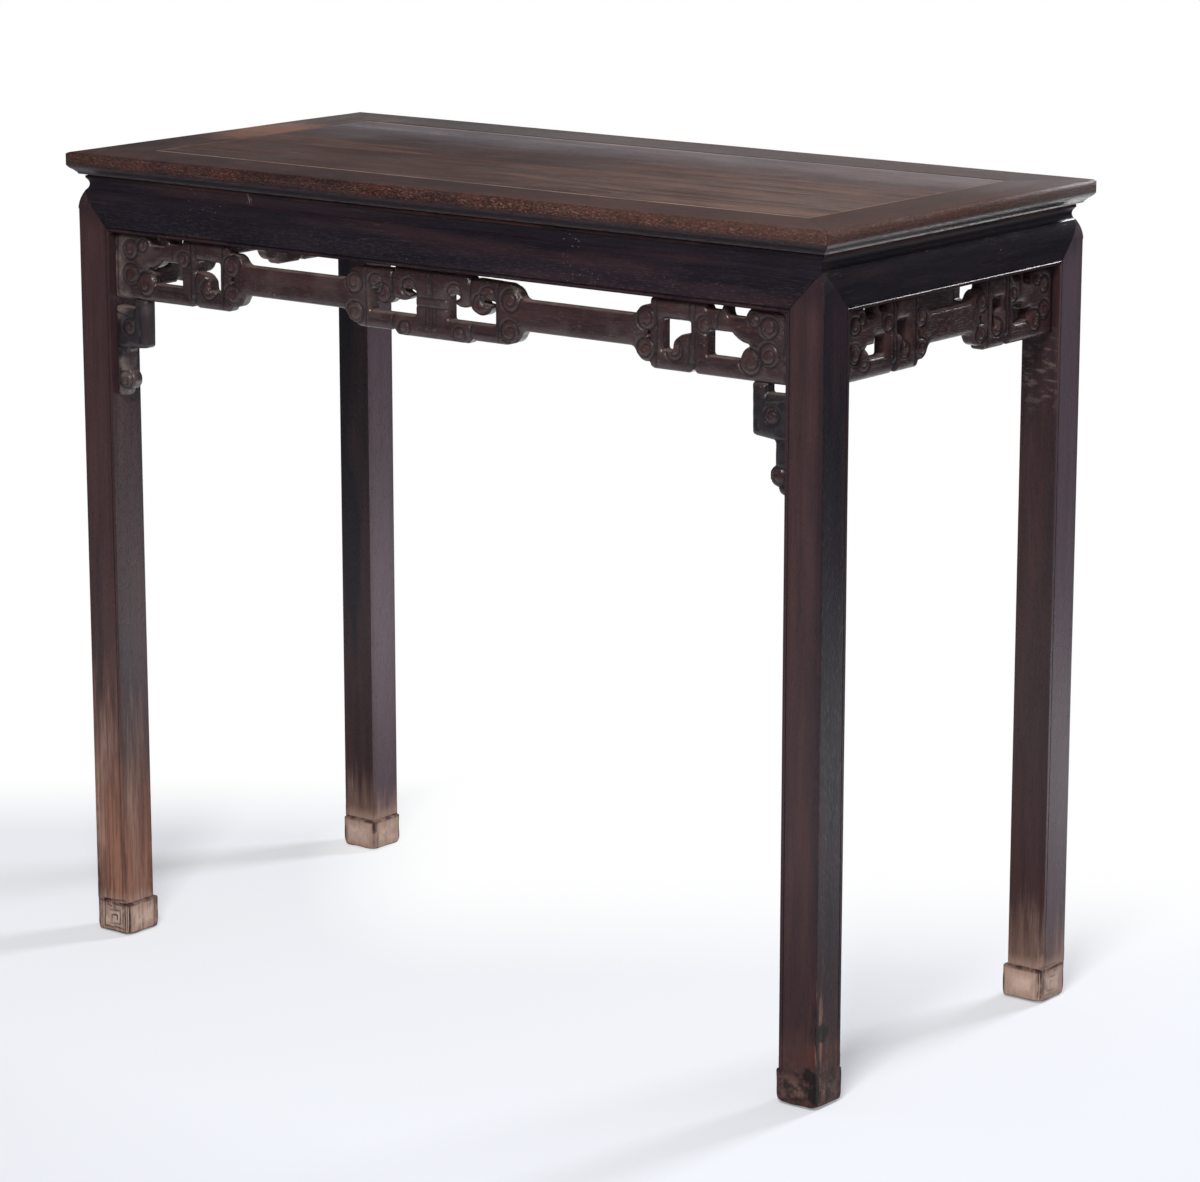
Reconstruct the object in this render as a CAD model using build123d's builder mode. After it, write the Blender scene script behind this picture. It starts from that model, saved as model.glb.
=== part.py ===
"""A waisted altar table with hoof feet, openwork scroll friezes and hanging spandrels.

Every piece is a separate solid with its real joinery. Millimetres, +Z up. The origin is on the
floor under the middle of the table, X runs along its length and -Y is its front.
"""
from build123d import *
import math
import os

os.makedirs("parts", exist_ok=True)

# ---- driving dimensions -------------------------------------------------------------------
TABLE_LENGTH = 960
TABLE_DEPTH = 468
TABLE_HEIGHT = 840

RAIL_WIDTH = 66          # top frame members, seen from above
RAIL_THICKNESS = 23
OVERHANG = 10            # top edge past the legs' outer faces
PANEL_THICKNESS = 12
PANEL_DROP = 0.3         # panel face below the frame's face
TONGUE_LOW = 6           # panel tongue, below the panel's face
TONGUE_HIGH = 11
TONGUE_LENGTH = 6
GROOVE_DEPTH = 7         # a millimetre deeper, so that the panel can move

BATTEN_WIDTH = 22
BATTEN_HEIGHT = 14
BATTEN_SPACING = 250
DOVETAIL_HEIGHT = 4
DOVETAIL_FLARE = 2

LEG_SIZE = 42
SHOULDER_RISE = 46       # the mitred shoulder climbs this far across the leg's width
FOOT_PROUD = 4           # hoof past the leg on its two inner faces
FOOT_HEIGHT = 35
FOOT_SHOULDER = 2.5
FOOT_CHAMFER = 1.2

APRON_THICKNESS = 20
APRON_BOTTOM = 760
BEAD_WIDTH = 4
BEAD_DEPTH = 0.8
BEAD_GROOVE = 1          # half the width of the groove beside the bead, and its outer chamfer
CORNER_RADIUS = 6        # rounded inner corner where apron and leg meet
EAR_THICKNESS = 5.5
MARGIN = 1               # how far a cutting solid runs past the wood it cuts
NEAR = 0.1               # edges closer than this to a plane lie on it

FRIEZE_SETBACK = 6
FRIEZE_THICKNESS = 16
FRIEZE_BOTTOM = 691
BAR_BOTTOM = 710
BAR_TOP = 740
STUB_LENGTH = 6
PIN_SIZE = 6             # square loose tenons, half in each of two pieces
PIN_LENGTH = 20

# ---- derived places -----------------------------------------------------------------------
LEG_X = TABLE_LENGTH / 2 - OVERHANG          # outer faces of the legs
LEG_Y = TABLE_DEPTH / 2 - OVERHANG
WAIST_TOP = TABLE_HEIGHT - RAIL_THICKNESS
PANEL_TOP = TABLE_HEIGHT - PANEL_DROP
PANEL_BOTTOM = PANEL_TOP - PANEL_THICKNESS
PANEL_X = TABLE_LENGTH / 2 - RAIL_WIDTH      # inner edges of the frame
PANEL_Y = TABLE_DEPTH / 2 - RAIL_WIDTH
INNER_X = LEG_X - LEG_SIZE                   # inner faces of the legs
INNER_Y = LEG_Y - LEG_SIZE
SHOULDER_TOP = APRON_BOTTOM + SHOULDER_RISE   # where the mitre meets the leg's outer edge
CORE_SIZE = LEG_SIZE - APRON_THICKNESS       # the leg's square core behind the apron ends
FRIEZE_MIDDLE = FRIEZE_SETBACK + FRIEZE_THICKNESS / 2
EYE_TOP = 738            # height of the upper scroll at each end of a bar
EYE_BOTTOM = 709


class Side:
    """One side of the table: its outer leg plane and half its length between outer leg faces."""

    def __init__(self, name, along, outward):
        self.name = name
        self.along = Vector(*along)
        self.outward = Vector(*outward)
        self.reach = LEG_X if abs(self.along.X) > 0.5 else LEG_Y
        self.inner = self.reach - LEG_SIZE
        self.depth = LEG_Y if abs(self.along.X) > 0.5 else LEG_X

    def face(self, setback=0):
        """The plane of the legs' outer faces: local x runs along the side, local y is height."""
        return Plane(self.outward * (self.depth - setback), x_dir=self.along, z_dir=self.outward)

    def section(self, place):
        """A plane across the side: local x points outwards from the leg face, local y is up."""
        origin = self.outward * self.depth + self.along * place
        return Plane(origin, x_dir=self.outward, z_dir=self.outward.cross(Vector(0, 0, 1)))


SIDES = {
    "front": Side("front", (1, 0, 0), (0, -1, 0)),
    "back": Side("back", (-1, 0, 0), (0, 1, 0)),
    "left": Side("left", (0, -1, 0), (-1, 0, 0)),
    "right": Side("right", (0, 1, 0), (1, 0, 0)),
}
CORNERS = {
    "front_left": (-1, -1),
    "front_right": (1, -1),
    "back_left": (-1, 1),
    "back_right": (1, 1),
}


def save(builder, name):
    """Label one finished piece and write it as a STEP file of the same name."""
    builder.part.label = name
    export_step(builder.part, f"parts/{name}.step")
    print(name, round(builder.part.volume), "mm3,", len(builder.part.solids()), "solid(s)")


# ---- joints, each made once and cut from the neighbour it enters ---------------------------
LONG_TENON = (429, 440, 196, 203, 17)        # x from, to, y from, to, height: into the long rail
SHORT_TENON = (442, 449, 183, 194, 12)       # the same, into the short rail


def leg_tenon(corner, tenon):
    """One of the two tenons on a leg's head, either side of the frame's mitre."""
    sign_x, sign_y = CORNERS[corner]
    x_from, x_to, y_from, y_to, height = tenon
    with BuildPart() as made:
        with BuildSketch(Plane.XY.offset(WAIST_TOP)):
            with Locations((sign_x * (x_from + x_to) / 2, sign_y * (y_from + y_to) / 2)):
                Rectangle(x_to - x_from, y_to - y_from)
        extrude(amount=height)
    return made.part


MITRE_TENON_INNER = 202                      # |y| of its inner edge, clear of the leg's tenons
MITRE_TENON_OUTER = 222
MITRE_TENON_END = TABLE_LENGTH / 2 - 10
MITRE_TENON_LOW = TABLE_HEIGHT - 14
MITRE_TENON_THICKNESS = 7


def mitre_tenon(corner):
    """The tenon of a long rail, from its mitre into the short rail."""
    sign_x, sign_y = CORNERS[corner]
    half_x = TABLE_LENGTH / 2
    half_y = TABLE_DEPTH / 2
    with BuildPart() as made:
        with BuildSketch(Plane.XY.offset(MITRE_TENON_LOW)):
            with BuildLine():
                Polyline(
                    (sign_x * (half_x - half_y + MITRE_TENON_INNER), sign_y * MITRE_TENON_INNER),
                    (sign_x * (half_x - half_y + MITRE_TENON_OUTER), sign_y * MITRE_TENON_OUTER),
                    (sign_x * MITRE_TENON_END, sign_y * MITRE_TENON_OUTER),
                    (sign_x * MITRE_TENON_END, sign_y * MITRE_TENON_INNER),
                    close=True,
                )
            make_face()
        extrude(amount=MITRE_TENON_THICKNESS)
    return made.part


KEY_ROOT = 8
KEY_FLARE = 12
KEY_DEPTH = 4
KEY_TOP = 812


def leg_key(corner, side):
    """The tapered hanging key on a leg's core, which the end of an apron slides down onto."""
    sign = 1 if SIDES[side].along.dot(Vector(*CORNERS[corner], 0)) > 0 else -1
    middle = sign * (SIDES[side].inner + CORE_SIZE / 2)
    face = SIDES[side].face(APRON_THICKNESS)
    floor = Plane(face.origin + Vector(0, 0, APRON_BOTTOM), x_dir=face.x_dir, z_dir=(0, 0, 1))
    outward = -1 if floor.y_dir.dot(SIDES[side].outward) < 0 else 1
    with BuildPart() as made:
        with BuildSketch(floor):
            with BuildLine():
                Polyline(
                    (middle - KEY_ROOT / 2, 0),
                    (middle - KEY_FLARE / 2, outward * KEY_DEPTH),
                    (middle + KEY_FLARE / 2, outward * KEY_DEPTH),
                    (middle + KEY_ROOT / 2, 0),
                    close=True,
                )
            make_face()
        extrude(amount=KEY_TOP - APRON_BOTTOM)
    return made.part


WAIST_TONGUE_SETBACK = 12
WAIST_TONGUE_WIDTH = 5
WAIST_TONGUE_HEIGHT = 4
WAIST_TONGUE_MARGIN = 12                     # it stops this far short of the legs


def waist_tongue(side):
    """The tongue along the top of a waist, which seats in a groove under the rail."""
    length = 2 * (SIDES[side].inner - WAIST_TONGUE_MARGIN)
    with BuildPart() as made:
        with BuildSketch(SIDES[side].face(WAIST_TONGUE_SETBACK)):
            with Locations((0, WAIST_TOP + WAIST_TONGUE_HEIGHT / 2)):
                Rectangle(length, WAIST_TONGUE_HEIGHT)
        extrude(amount=-WAIST_TONGUE_WIDTH)
    return made.part


STUB_LOW = 705
STUB_HIGH = 745
STUB_THICKNESS = 6


def frieze_stubs(side):
    """The stub tenons at a frieze's two ends, which enter the legs' inner faces."""
    setback = FRIEZE_MIDDLE - STUB_THICKNESS / 2
    reach = SIDES[side].inner
    with BuildPart() as made:
        with BuildSketch(SIDES[side].face(setback)):
            with Locations(
                (reach + STUB_LENGTH / 2, (STUB_LOW + STUB_HIGH) / 2),
                (-reach - STUB_LENGTH / 2, (STUB_LOW + STUB_HIGH) / 2),
            ):
                Rectangle(STUB_LENGTH, STUB_HIGH - STUB_LOW)
        extrude(amount=-STUB_THICKNESS)
    return made.part


FRIEZE_PIN_PLACES = {
    "front": (-300, 0, 300),
    "back": (-300, 0, 300),
    "left": (-80, 80),
    "right": (-80, 80),
}


def frieze_pins(side):
    """Upright square pins, half in the frieze's top edge and half in the apron above it."""
    face = SIDES[side].face(FRIEZE_MIDDLE)
    low = APRON_BOTTOM - PIN_LENGTH / 2
    floor = Plane(face.origin + Vector(0, 0, low), x_dir=face.x_dir, z_dir=(0, 0, 1))
    with BuildPart() as made:
        with BuildSketch(floor):
            with Locations([(place, 0) for place in FRIEZE_PIN_PLACES[side]]):
                Rectangle(PIN_SIZE, PIN_SIZE)
        extrude(amount=PIN_LENGTH)
    return made.part


SPANDREL_PIN_PLACE = 392                     # under the frieze's end block
SPANDREL_PIN_HEIGHT = 630                    # the pin into the leg


def spandrel_pins():
    """Two square pins to each spandrel: one up into the frieze, one sideways into the leg."""
    middle_y = -(LEG_Y - FRIEZE_MIDDLE)
    with BuildPart() as made:
        with BuildSketch(Plane.XY.offset(FRIEZE_BOTTOM - PIN_LENGTH / 2)):
            with Locations((SPANDREL_PIN_PLACE, middle_y), (-SPANDREL_PIN_PLACE, middle_y)):
                Rectangle(PIN_SIZE, PIN_SIZE)
        extrude(amount=PIN_LENGTH)
        for sign in (1, -1):
            with BuildSketch(Plane.YZ.offset(sign * (INNER_X - PIN_LENGTH / 2))):
                with Locations((middle_y, SPANDREL_PIN_HEIGHT)):
                    Rectangle(PIN_SIZE, PIN_SIZE)
            extrude(amount=sign * PIN_LENGTH)
    return made.part


BATTEN_PLACES = {"left": -BATTEN_SPACING, "middle": 0, "right": BATTEN_SPACING}
BATTEN_TENON_WIDTH = 14
BATTEN_TENON_LENGTH = 12
BATTEN_TENON_LOW = WAIST_TOP + 1
BATTEN_TENON_HIGH = PANEL_BOTTOM


def batten_solid(place):
    """A batten with its dovetailed top and a tenon at each end."""
    half = BATTEN_WIDTH / 2
    with BuildPart() as made:
        with BuildSketch(Plane.XZ.offset(-PANEL_Y)):
            with BuildLine():
                Polyline(
                    (place - half, PANEL_BOTTOM - BATTEN_HEIGHT),
                    (place + half, PANEL_BOTTOM - BATTEN_HEIGHT),
                    (place + half, PANEL_BOTTOM),
                    (place + half + DOVETAIL_FLARE, PANEL_BOTTOM + DOVETAIL_HEIGHT),
                    (place - half - DOVETAIL_FLARE, PANEL_BOTTOM + DOVETAIL_HEIGHT),
                    (place - half, PANEL_BOTTOM),
                    close=True,
                )
            make_face()
        extrude(amount=2 * PANEL_Y)
        with BuildSketch(Plane.XZ.offset(-PANEL_Y - BATTEN_TENON_LENGTH)):
            with Locations((place, (BATTEN_TENON_LOW + BATTEN_TENON_HIGH) / 2)):
                Rectangle(BATTEN_TENON_WIDTH, BATTEN_TENON_HIGH - BATTEN_TENON_LOW)
        extrude(amount=2 * (PANEL_Y + BATTEN_TENON_LENGTH))
    return made.part


# ---- top frame ----------------------------------------------------------------------------
EDGE_RADIUS = 2          # the top arris
EDGE_FLAT = 5.5          # the flat band below it
MOULDING_MIDDLE = (8, -14)
MOULDING_TURN = (3.4, -18.2)                 # the round of the edge ends here and slopes on
MOULDING_FOOT = (0, -21.4)
MOULDING_HEEL = (-0.6, -RAIL_THICKNESS)


def rail(side):
    """One member of the top frame: moulded edge, panel groove and mitred ends."""
    this = SIDES[side]
    half = this.reach + OVERHANG
    top = TABLE_HEIGHT
    back = OVERHANG - RAIL_WIDTH
    arris = (OVERHANG - EDGE_RADIUS * (1 - math.sqrt(0.5)), top - EDGE_RADIUS * (1 - math.sqrt(0.5)))
    nose = (OVERHANG, top - EDGE_RADIUS - EDGE_FLAT)
    with BuildPart() as made:
        with BuildSketch(this.section(-half)):
            with BuildLine():
                Polyline(
                    (MOULDING_TURN[0], top + MOULDING_TURN[1]),
                    (MOULDING_FOOT[0], top + MOULDING_FOOT[1]),
                    (MOULDING_HEEL[0], top + MOULDING_HEEL[1]),
                    (back, WAIST_TOP),
                    (back, top),
                    (OVERHANG - EDGE_RADIUS, top),
                )
                ThreePointArc((OVERHANG - EDGE_RADIUS, top), arris, (OVERHANG, top - EDGE_RADIUS))
                Line((OVERHANG, top - EDGE_RADIUS), nose)
                ThreePointArc(
                    nose,
                    (MOULDING_MIDDLE[0], top + MOULDING_MIDDLE[1]),
                    (MOULDING_TURN[0], top + MOULDING_TURN[1]),
                )
            make_face()
        extrude(amount=extrude_along(this, 2 * half))
        with BuildSketch(this.face(-OVERHANG + RAIL_WIDTH)):
            with Locations((0, PANEL_TOP - (TONGUE_LOW + TONGUE_HIGH) / 2)):
                Rectangle(2 * half, TONGUE_HIGH - TONGUE_LOW)
        extrude(amount=GROOVE_DEPTH, mode=Mode.SUBTRACT)
        with BuildSketch(Plane.XY.offset(WAIST_TOP - MARGIN)):
            with BuildLine():
                Polyline(*mitre_outline(this), close=True)
            make_face()
        extrude(amount=RAIL_THICKNESS + 2 * MARGIN, mode=Mode.INTERSECT)
        add(waist_tongue(side), mode=Mode.SUBTRACT)
        for corner, (sign_x, sign_y) in CORNERS.items():
            if not touches(this, sign_x, sign_y):
                continue
            if side in ("front", "back"):
                add(mitre_tenon(corner))
                add(leg_tenon(corner, LONG_TENON), mode=Mode.SUBTRACT)
            else:
                add(mitre_tenon(corner), mode=Mode.SUBTRACT)
                add(leg_tenon(corner, SHORT_TENON), mode=Mode.SUBTRACT)
        if side in ("front", "back"):
            for place in BATTEN_PLACES.values():
                add(batten_solid(place), mode=Mode.SUBTRACT)
    return made


def extrude_along(side, length):
    """The signed amount that carries a section sketch along its side, from -reach to +reach."""
    normal = side.section(0).z_dir
    return length if normal.dot(side.along) > 0 else -length


def touches(side, sign_x, sign_y):
    """True if the corner with these signs lies on this side."""
    return side.outward.dot(Vector(sign_x, sign_y, 0)) > 0


def mitre_outline(side):
    """Plan of everything on this side of the 45 degree mitre lines, as points."""
    half_x = TABLE_LENGTH / 2
    half_y = TABLE_DEPTH / 2
    if side.along.Y == 0:
        sign = side.outward.Y
        return [
            (-half_x, sign * half_y),
            (half_x, sign * half_y),
            (half_x - half_y, 0),
            (half_y - half_x, 0),
        ]
    sign = side.outward.X
    return [
        (sign * half_x, -half_y),
        (sign * half_x, half_y),
        (sign * (half_x - half_y), 0),
    ]


for side in SIDES:
    save(rail(side), f"top_rail_{side}")

with BuildPart() as top_panel:
    with BuildSketch(Plane.XY.offset(PANEL_BOTTOM)):
        Rectangle(2 * PANEL_X, 2 * PANEL_Y)
    extrude(amount=PANEL_THICKNESS)
    with BuildSketch(Plane.XY.offset(PANEL_TOP - TONGUE_HIGH)):
        Rectangle(2 * (PANEL_X + TONGUE_LENGTH), 2 * (PANEL_Y + TONGUE_LENGTH))
    extrude(amount=TONGUE_HIGH - TONGUE_LOW)
    for place in BATTEN_PLACES.values():
        add(batten_solid(place), mode=Mode.SUBTRACT)
save(top_panel, "top_panel")

for name, place in BATTEN_PLACES.items():
    with BuildPart() as panel_batten:
        add(batten_solid(place))
    save(panel_batten, f"panel_batten_{name}")


# ---- aprons, each in one piece with its waist ----------------------------------------------
QUIRK = (-7.4, 815.4)    # step under the frame, local x outwards and height
NOSE_OUT = -5.6
NOSE_LOW = 812.8
COVE = (-8.6, 806.4)
COVE_FOOT = (-5.8, 800.6)
SHOULDER_FOOT = 780


def apron_blank(side, beaded):
    """Waist and apron as a length of moulding, mitred in plan at both corners."""
    this = SIDES[side]
    groove = APRON_BOTTOM + BEAD_WIDTH
    if beaded:
        lower_edge = [
            (0, groove + BEAD_GROOVE),
            (-BEAD_DEPTH, groove),
            (0, groove - BEAD_GROOVE),
            (0, APRON_BOTTOM + BEAD_GROOVE),
            (-BEAD_GROOVE, APRON_BOTTOM),
        ]
    else:
        lower_edge = [(0, APRON_BOTTOM)]
    with BuildPart() as made:
        with BuildSketch(this.section(-this.reach)):
            with BuildLine():
                Polyline(
                    (0, SHOULDER_FOOT),
                    *lower_edge,
                    (-APRON_THICKNESS, APRON_BOTTOM),
                    (-APRON_THICKNESS, WAIST_TOP),
                    (QUIRK[0], WAIST_TOP),
                    QUIRK,
                    (NOSE_OUT, QUIRK[1]),
                    (NOSE_OUT, NOSE_LOW),
                )
                ThreePointArc((NOSE_OUT, NOSE_LOW), COVE, COVE_FOOT)
                TangentArc((0, SHOULDER_FOOT), COVE_FOOT, tangent=(0, 1))
            make_face()
        extrude(amount=extrude_along(this, 2 * this.reach))
        with BuildSketch(Plane.XY.offset(APRON_BOTTOM - MARGIN)):
            with BuildLine():
                Polyline(*mitre_outline(this), close=True)
            make_face()
        extrude(amount=WAIST_TOP - APRON_BOTTOM + 2 * MARGIN, mode=Mode.INTERSECT)
        with BuildSketch(this.face()):
            for sign in (1, -1):
                add(ear(sign * this.inner, sign))
        extrude(amount=-EAR_THICKNESS)
    return made.part


def ear(place, sign):
    """Outline of the small fillet of wood that rounds the opening's upper corner."""
    centre = (place - sign * CORNER_RADIUS, APRON_BOTTOM - CORNER_RADIUS)
    middle = CORNER_RADIUS * math.sqrt(0.5)
    with BuildSketch() as made:
        with BuildLine():
            Line((centre[0], APRON_BOTTOM), (place, APRON_BOTTOM))
            Line((place, APRON_BOTTOM), (place, centre[1]))
            ThreePointArc(
                (place, centre[1]),
                (centre[0] + sign * middle, centre[1] + middle),
                (centre[0], APRON_BOTTOM),
            )
        make_face()
    return made.sketch


def below_mitre(side, sign):
    """The wedge under one sloping shoulder line, which belongs to the leg."""
    this = SIDES[side]
    slope = SHOULDER_RISE / LEG_SIZE
    drop = 2 * CORNER_RADIUS
    with BuildPart() as made:
        with BuildSketch(this.face(-MARGIN)):
            with BuildLine():
                Polyline(
                    (sign * (this.inner - drop / slope), APRON_BOTTOM - drop),
                    (sign * (this.reach + MARGIN), SHOULDER_TOP + MARGIN * slope),
                    (sign * (this.reach + MARGIN), APRON_BOTTOM - drop),
                    close=True,
                )
            make_face()
        extrude(amount=-APRON_THICKNESS - 2 * MARGIN)
    return made.part


def apron(side):
    """The apron without its legs' shoulders, slotted for the keys and bored for the pins."""
    with BuildPart() as made:
        add(apron_blank(side, beaded=True))
        for sign in (1, -1):
            add(below_mitre(side, sign), mode=Mode.SUBTRACT)
        for corner, (sign_x, sign_y) in CORNERS.items():
            if touches(SIDES[side], sign_x, sign_y):
                add(leg_key(corner, side), mode=Mode.SUBTRACT)
        add(waist_tongue(side))
        add(frieze_pins(side), mode=Mode.SUBTRACT)
    return made


for side in SIDES:
    save(apron(side), f"apron_{side}")


# ---- legs ---------------------------------------------------------------------------------
def leg_shoulder(side, sign):
    """The end of the apron moulding that the leg carries below the shoulder line."""
    with BuildPart() as made:
        add(apron_blank(side, beaded=False))
        add(below_mitre(side, sign), mode=Mode.INTERSECT)
    return made.part


def bead_groove(corner, side):
    """The fine groove that sets off the bead along a leg's inner edge."""
    sign = 1 if SIDES[side].along.dot(Vector(*CORNERS[corner], 0)) > 0 else -1
    place = sign * (SIDES[side].inner + BEAD_WIDTH)
    with BuildPart() as made:
        with BuildSketch(SIDES[side].face()):
            with Locations((place, (FOOT_HEIGHT + APRON_BOTTOM + BEAD_WIDTH) / 2)):
                Rectangle(BEAD_GROOVE, APRON_BOTTOM + BEAD_WIDTH - FOOT_HEIGHT)
        extrude(amount=-BEAD_DEPTH)
    return made.part


def is_foot_shoulder(edge):
    """True for the foot's two upper edges on the leg's inner faces."""
    middle = edge.center()
    if abs(middle.Z - FOOT_HEIGHT) > NEAR:
        return False
    inside_x = abs(middle.X) < INNER_X - FOOT_PROUD + NEAR
    inside_y = abs(middle.Y) < INNER_Y - FOOT_PROUD + NEAR
    return inside_x or inside_y


def leg(corner):
    """A leg with its foot, shoulders, keys and head tenons."""
    sign_x, sign_y = CORNERS[corner]
    sides = [name for name, side in SIDES.items() if touches(side, sign_x, sign_y)]
    centre = (sign_x * (INNER_X + LEG_SIZE / 2), sign_y * (INNER_Y + LEG_SIZE / 2))
    core = (sign_x * (INNER_X + CORE_SIZE / 2), sign_y * (INNER_Y + CORE_SIZE / 2))
    foot_size = LEG_SIZE + FOOT_PROUD
    foot = (centre[0] - sign_x * FOOT_PROUD / 2, centre[1] - sign_y * FOOT_PROUD / 2)
    with BuildPart() as made:
        with BuildSketch(Plane.XY):
            with Locations(centre):
                Rectangle(LEG_SIZE, LEG_SIZE)
        extrude(amount=APRON_BOTTOM)
        with BuildSketch(Plane.XY):
            with Locations(foot):
                Rectangle(foot_size, foot_size)
        extrude(amount=FOOT_HEIGHT)
        fillet([edge for edge in made.edges() if is_foot_shoulder(edge)], radius=FOOT_SHOULDER)
        chamfer(made.faces().sort_by(Axis.Z)[0].edges(), length=FOOT_CHAMFER)
        with BuildSketch(Plane.XY.offset(APRON_BOTTOM)):
            with Locations(core):
                Rectangle(CORE_SIZE, CORE_SIZE)
        extrude(amount=WAIST_TOP - APRON_BOTTOM)
        for side in sides:
            sign = 1 if SIDES[side].along.dot(Vector(sign_x, sign_y, 0)) > 0 else -1
            add(leg_shoulder(side, sign))
            add(leg_key(corner, side))
            add(bead_groove(corner, side), mode=Mode.SUBTRACT)
            add(frieze_stubs(side), mode=Mode.SUBTRACT)
        add(leg_tenon(corner, LONG_TENON))
        add(leg_tenon(corner, SHORT_TENON))
        if sign_y < 0:
            add(spandrel_pins(), mode=Mode.SUBTRACT)
    return made


for corner in CORNERS:
    save(leg(corner), f"leg_{corner}")


# ---- openwork friezes ----------------------------------------------------------------------
# Each frieze is drawn as the half on the +u side: u runs from the table's middle to the leg.
# "first" is the fret beside the bar, "second" the larger fret between it and the leg.
FIRST_WIDTH = 54         # from the bar's scroll eyes to the groove between the frets
SECOND_WIDTH = 112       # from that groove to the leg
EYE_RADIUS = 12.5
NOTCH_DEPTH = 4.5        # of the small notch under the groove between two frets
NOTCH_HALF = 4.5
FRET_CORNER = 5          # rounding of a fret's corners beside the bar
BAR_FLARE = 8            # rounding between a bar and its scroll eyes
FIRST_FLOOR = 709.5      # sill and head of the first fret's window
FIRST_HEAD = 739.5
SECOND_FLOOR = 709.5     # the same of the second fret's window
SECOND_HEAD = 734

# name: (end, groove, eye), all measured along the side
FRIEZE_PLACES = {"long": (428, 316, 262), "short": (182, 97.5, 52)}


def fret_half(kind):
    """The +u half of a frieze's ends: bar end, two frets and their windows."""
    end, groove, eye = FRIEZE_PLACES[kind]
    first = (groove - eye) / FIRST_WIDTH
    second = (end - groove) / SECOND_WIDTH

    def near(offset):
        return eye + offset * first

    def far(offset):
        return groove + offset * second

    top = APRON_BOTTOM
    low = FRIEZE_BOTTOM
    with BuildSketch() as half:
        with BuildLine():
            Polyline(
                (near(4), low),
                (near(4), top),
                (far(15), top),
                (far(17), top - 7),
                (far(32), top - 7),
                (far(34), top),
                (far(39), top),
                (far(41), top - 11),
                (far(60), top - 11),
            )
            ThreePointArc((far(60), top - 11), (far(63.5), top - 3), (far(69), top))
            Polyline(
                (far(69), top),
                (end, top),
                (end, low),
                (far(0) + NOTCH_HALF, low),
                (far(0), low + NOTCH_DEPTH),
                (far(0) - NOTCH_HALF, low),
                (near(4), low),
            )
        make_face()
        fillet(half.vertices().group_by(Axis.X)[0], radius=FRET_CORNER)
        with Locations((near(-1), EYE_TOP), (near(-1), EYE_BOTTOM)):
            Circle(EYE_RADIUS)
        # the hooked window of the first fret, open beside its curl
        with BuildLine():
            Polyline(
                (near(18.5), FIRST_FLOOR),
                (near(18.5), FIRST_HEAD),
                (near(50.5), FIRST_HEAD),
                (near(50.5), 727),
            )
            ThreePointArc((near(50.5), 727), (near(40), 726), (near(32), 719))
            Polyline((near(32), 719), (near(31), FIRST_FLOOR), (near(18.5), FIRST_FLOOR))
        make_face(mode=Mode.SUBTRACT)
        # the tapering window of the second fret, between its two scrolls
        with BuildLine():
            Polyline((far(17.5), SECOND_FLOOR), (far(17.5), SECOND_HEAD), (far(45), SECOND_HEAD))
            ThreePointArc((far(45), SECOND_HEAD), (far(52), 728), (far(69), 725.5))
            Line((far(69), 725.5), (far(69), 723.5))
            ThreePointArc((far(69), 723.5), (far(58.5), 719.5), (far(54.5), SECOND_FLOOR))
            Line((far(54.5), SECOND_FLOOR), (far(17.5), SECOND_FLOOR))
        make_face(mode=Mode.SUBTRACT)
    return half.sketch


CENTRE_REACH = 100       # the bars start here, inside the centre block's scrolls
CENTRE_SIDE = 109.5      # the block's own side, between its two scroll eyes
CENTRE_FLOOR = 711.5     # sill and head of its window
CENTRE_HEAD = 737.5


def centre_half():
    """The +u half of the double fret in the middle of a long frieze, with its hooked window."""
    top = APRON_BOTTOM
    low = FRIEZE_BOTTOM
    shelf = low + 3.5
    with BuildSketch() as half:
        with BuildLine():
            Polyline((0, top), (47, top), (49, top - 6), (54, top - 4.5), (90, top - 5.5))
            ThreePointArc((90, top - 5.5), (104, 750), (CENTRE_SIDE, 741))
            Line((CENTRE_SIDE, 741), (CENTRE_SIDE, 708))
            ThreePointArc((CENTRE_SIDE, 708), (103, 699), (90, shelf))
            Polyline(
                (90, shelf),
                (49.5 + NOTCH_HALF, shelf),
                (49.5, low + NOTCH_DEPTH + 1),
                (49.5 - NOTCH_HALF, low),
                (0, low),
                (0, top),
            )
        make_face()
        with Locations((98, 740), (99, 709.5)):
            Circle(EYE_RADIUS)
        # its window, which runs on as a slot behind the curl at either end
        with BuildLine():
            Polyline(
                (21, CENTRE_FLOOR),
                (21, CENTRE_HEAD),
                (35, CENTRE_HEAD),
                (35, CENTRE_HEAD - 3.5),
                (28, 732),
                (28, 729),
            )
            ThreePointArc((28, 729), (38, 725.5), (48, 728))
            ThreePointArc((48, 728), (62, 720), (74, 728))
            Polyline(
                (74, 728),
                (74, 731),
                (65, 732),
                (65, CENTRE_HEAD - 2),
                (79, CENTRE_HEAD - 2),
                (79, CENTRE_FLOOR),
                (21, CENTRE_FLOOR),
            )
        make_face(mode=Mode.SUBTRACT)
    return half.sketch


def where_bar_starts(vertex):
    """True for the corners between a bar and the scroll eyes at its ends."""
    on_edge = min(abs(vertex.Y - BAR_TOP), abs(vertex.Y - BAR_BOTTOM)) < NEAR
    return on_edge and vertex.X > NEAR


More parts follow.
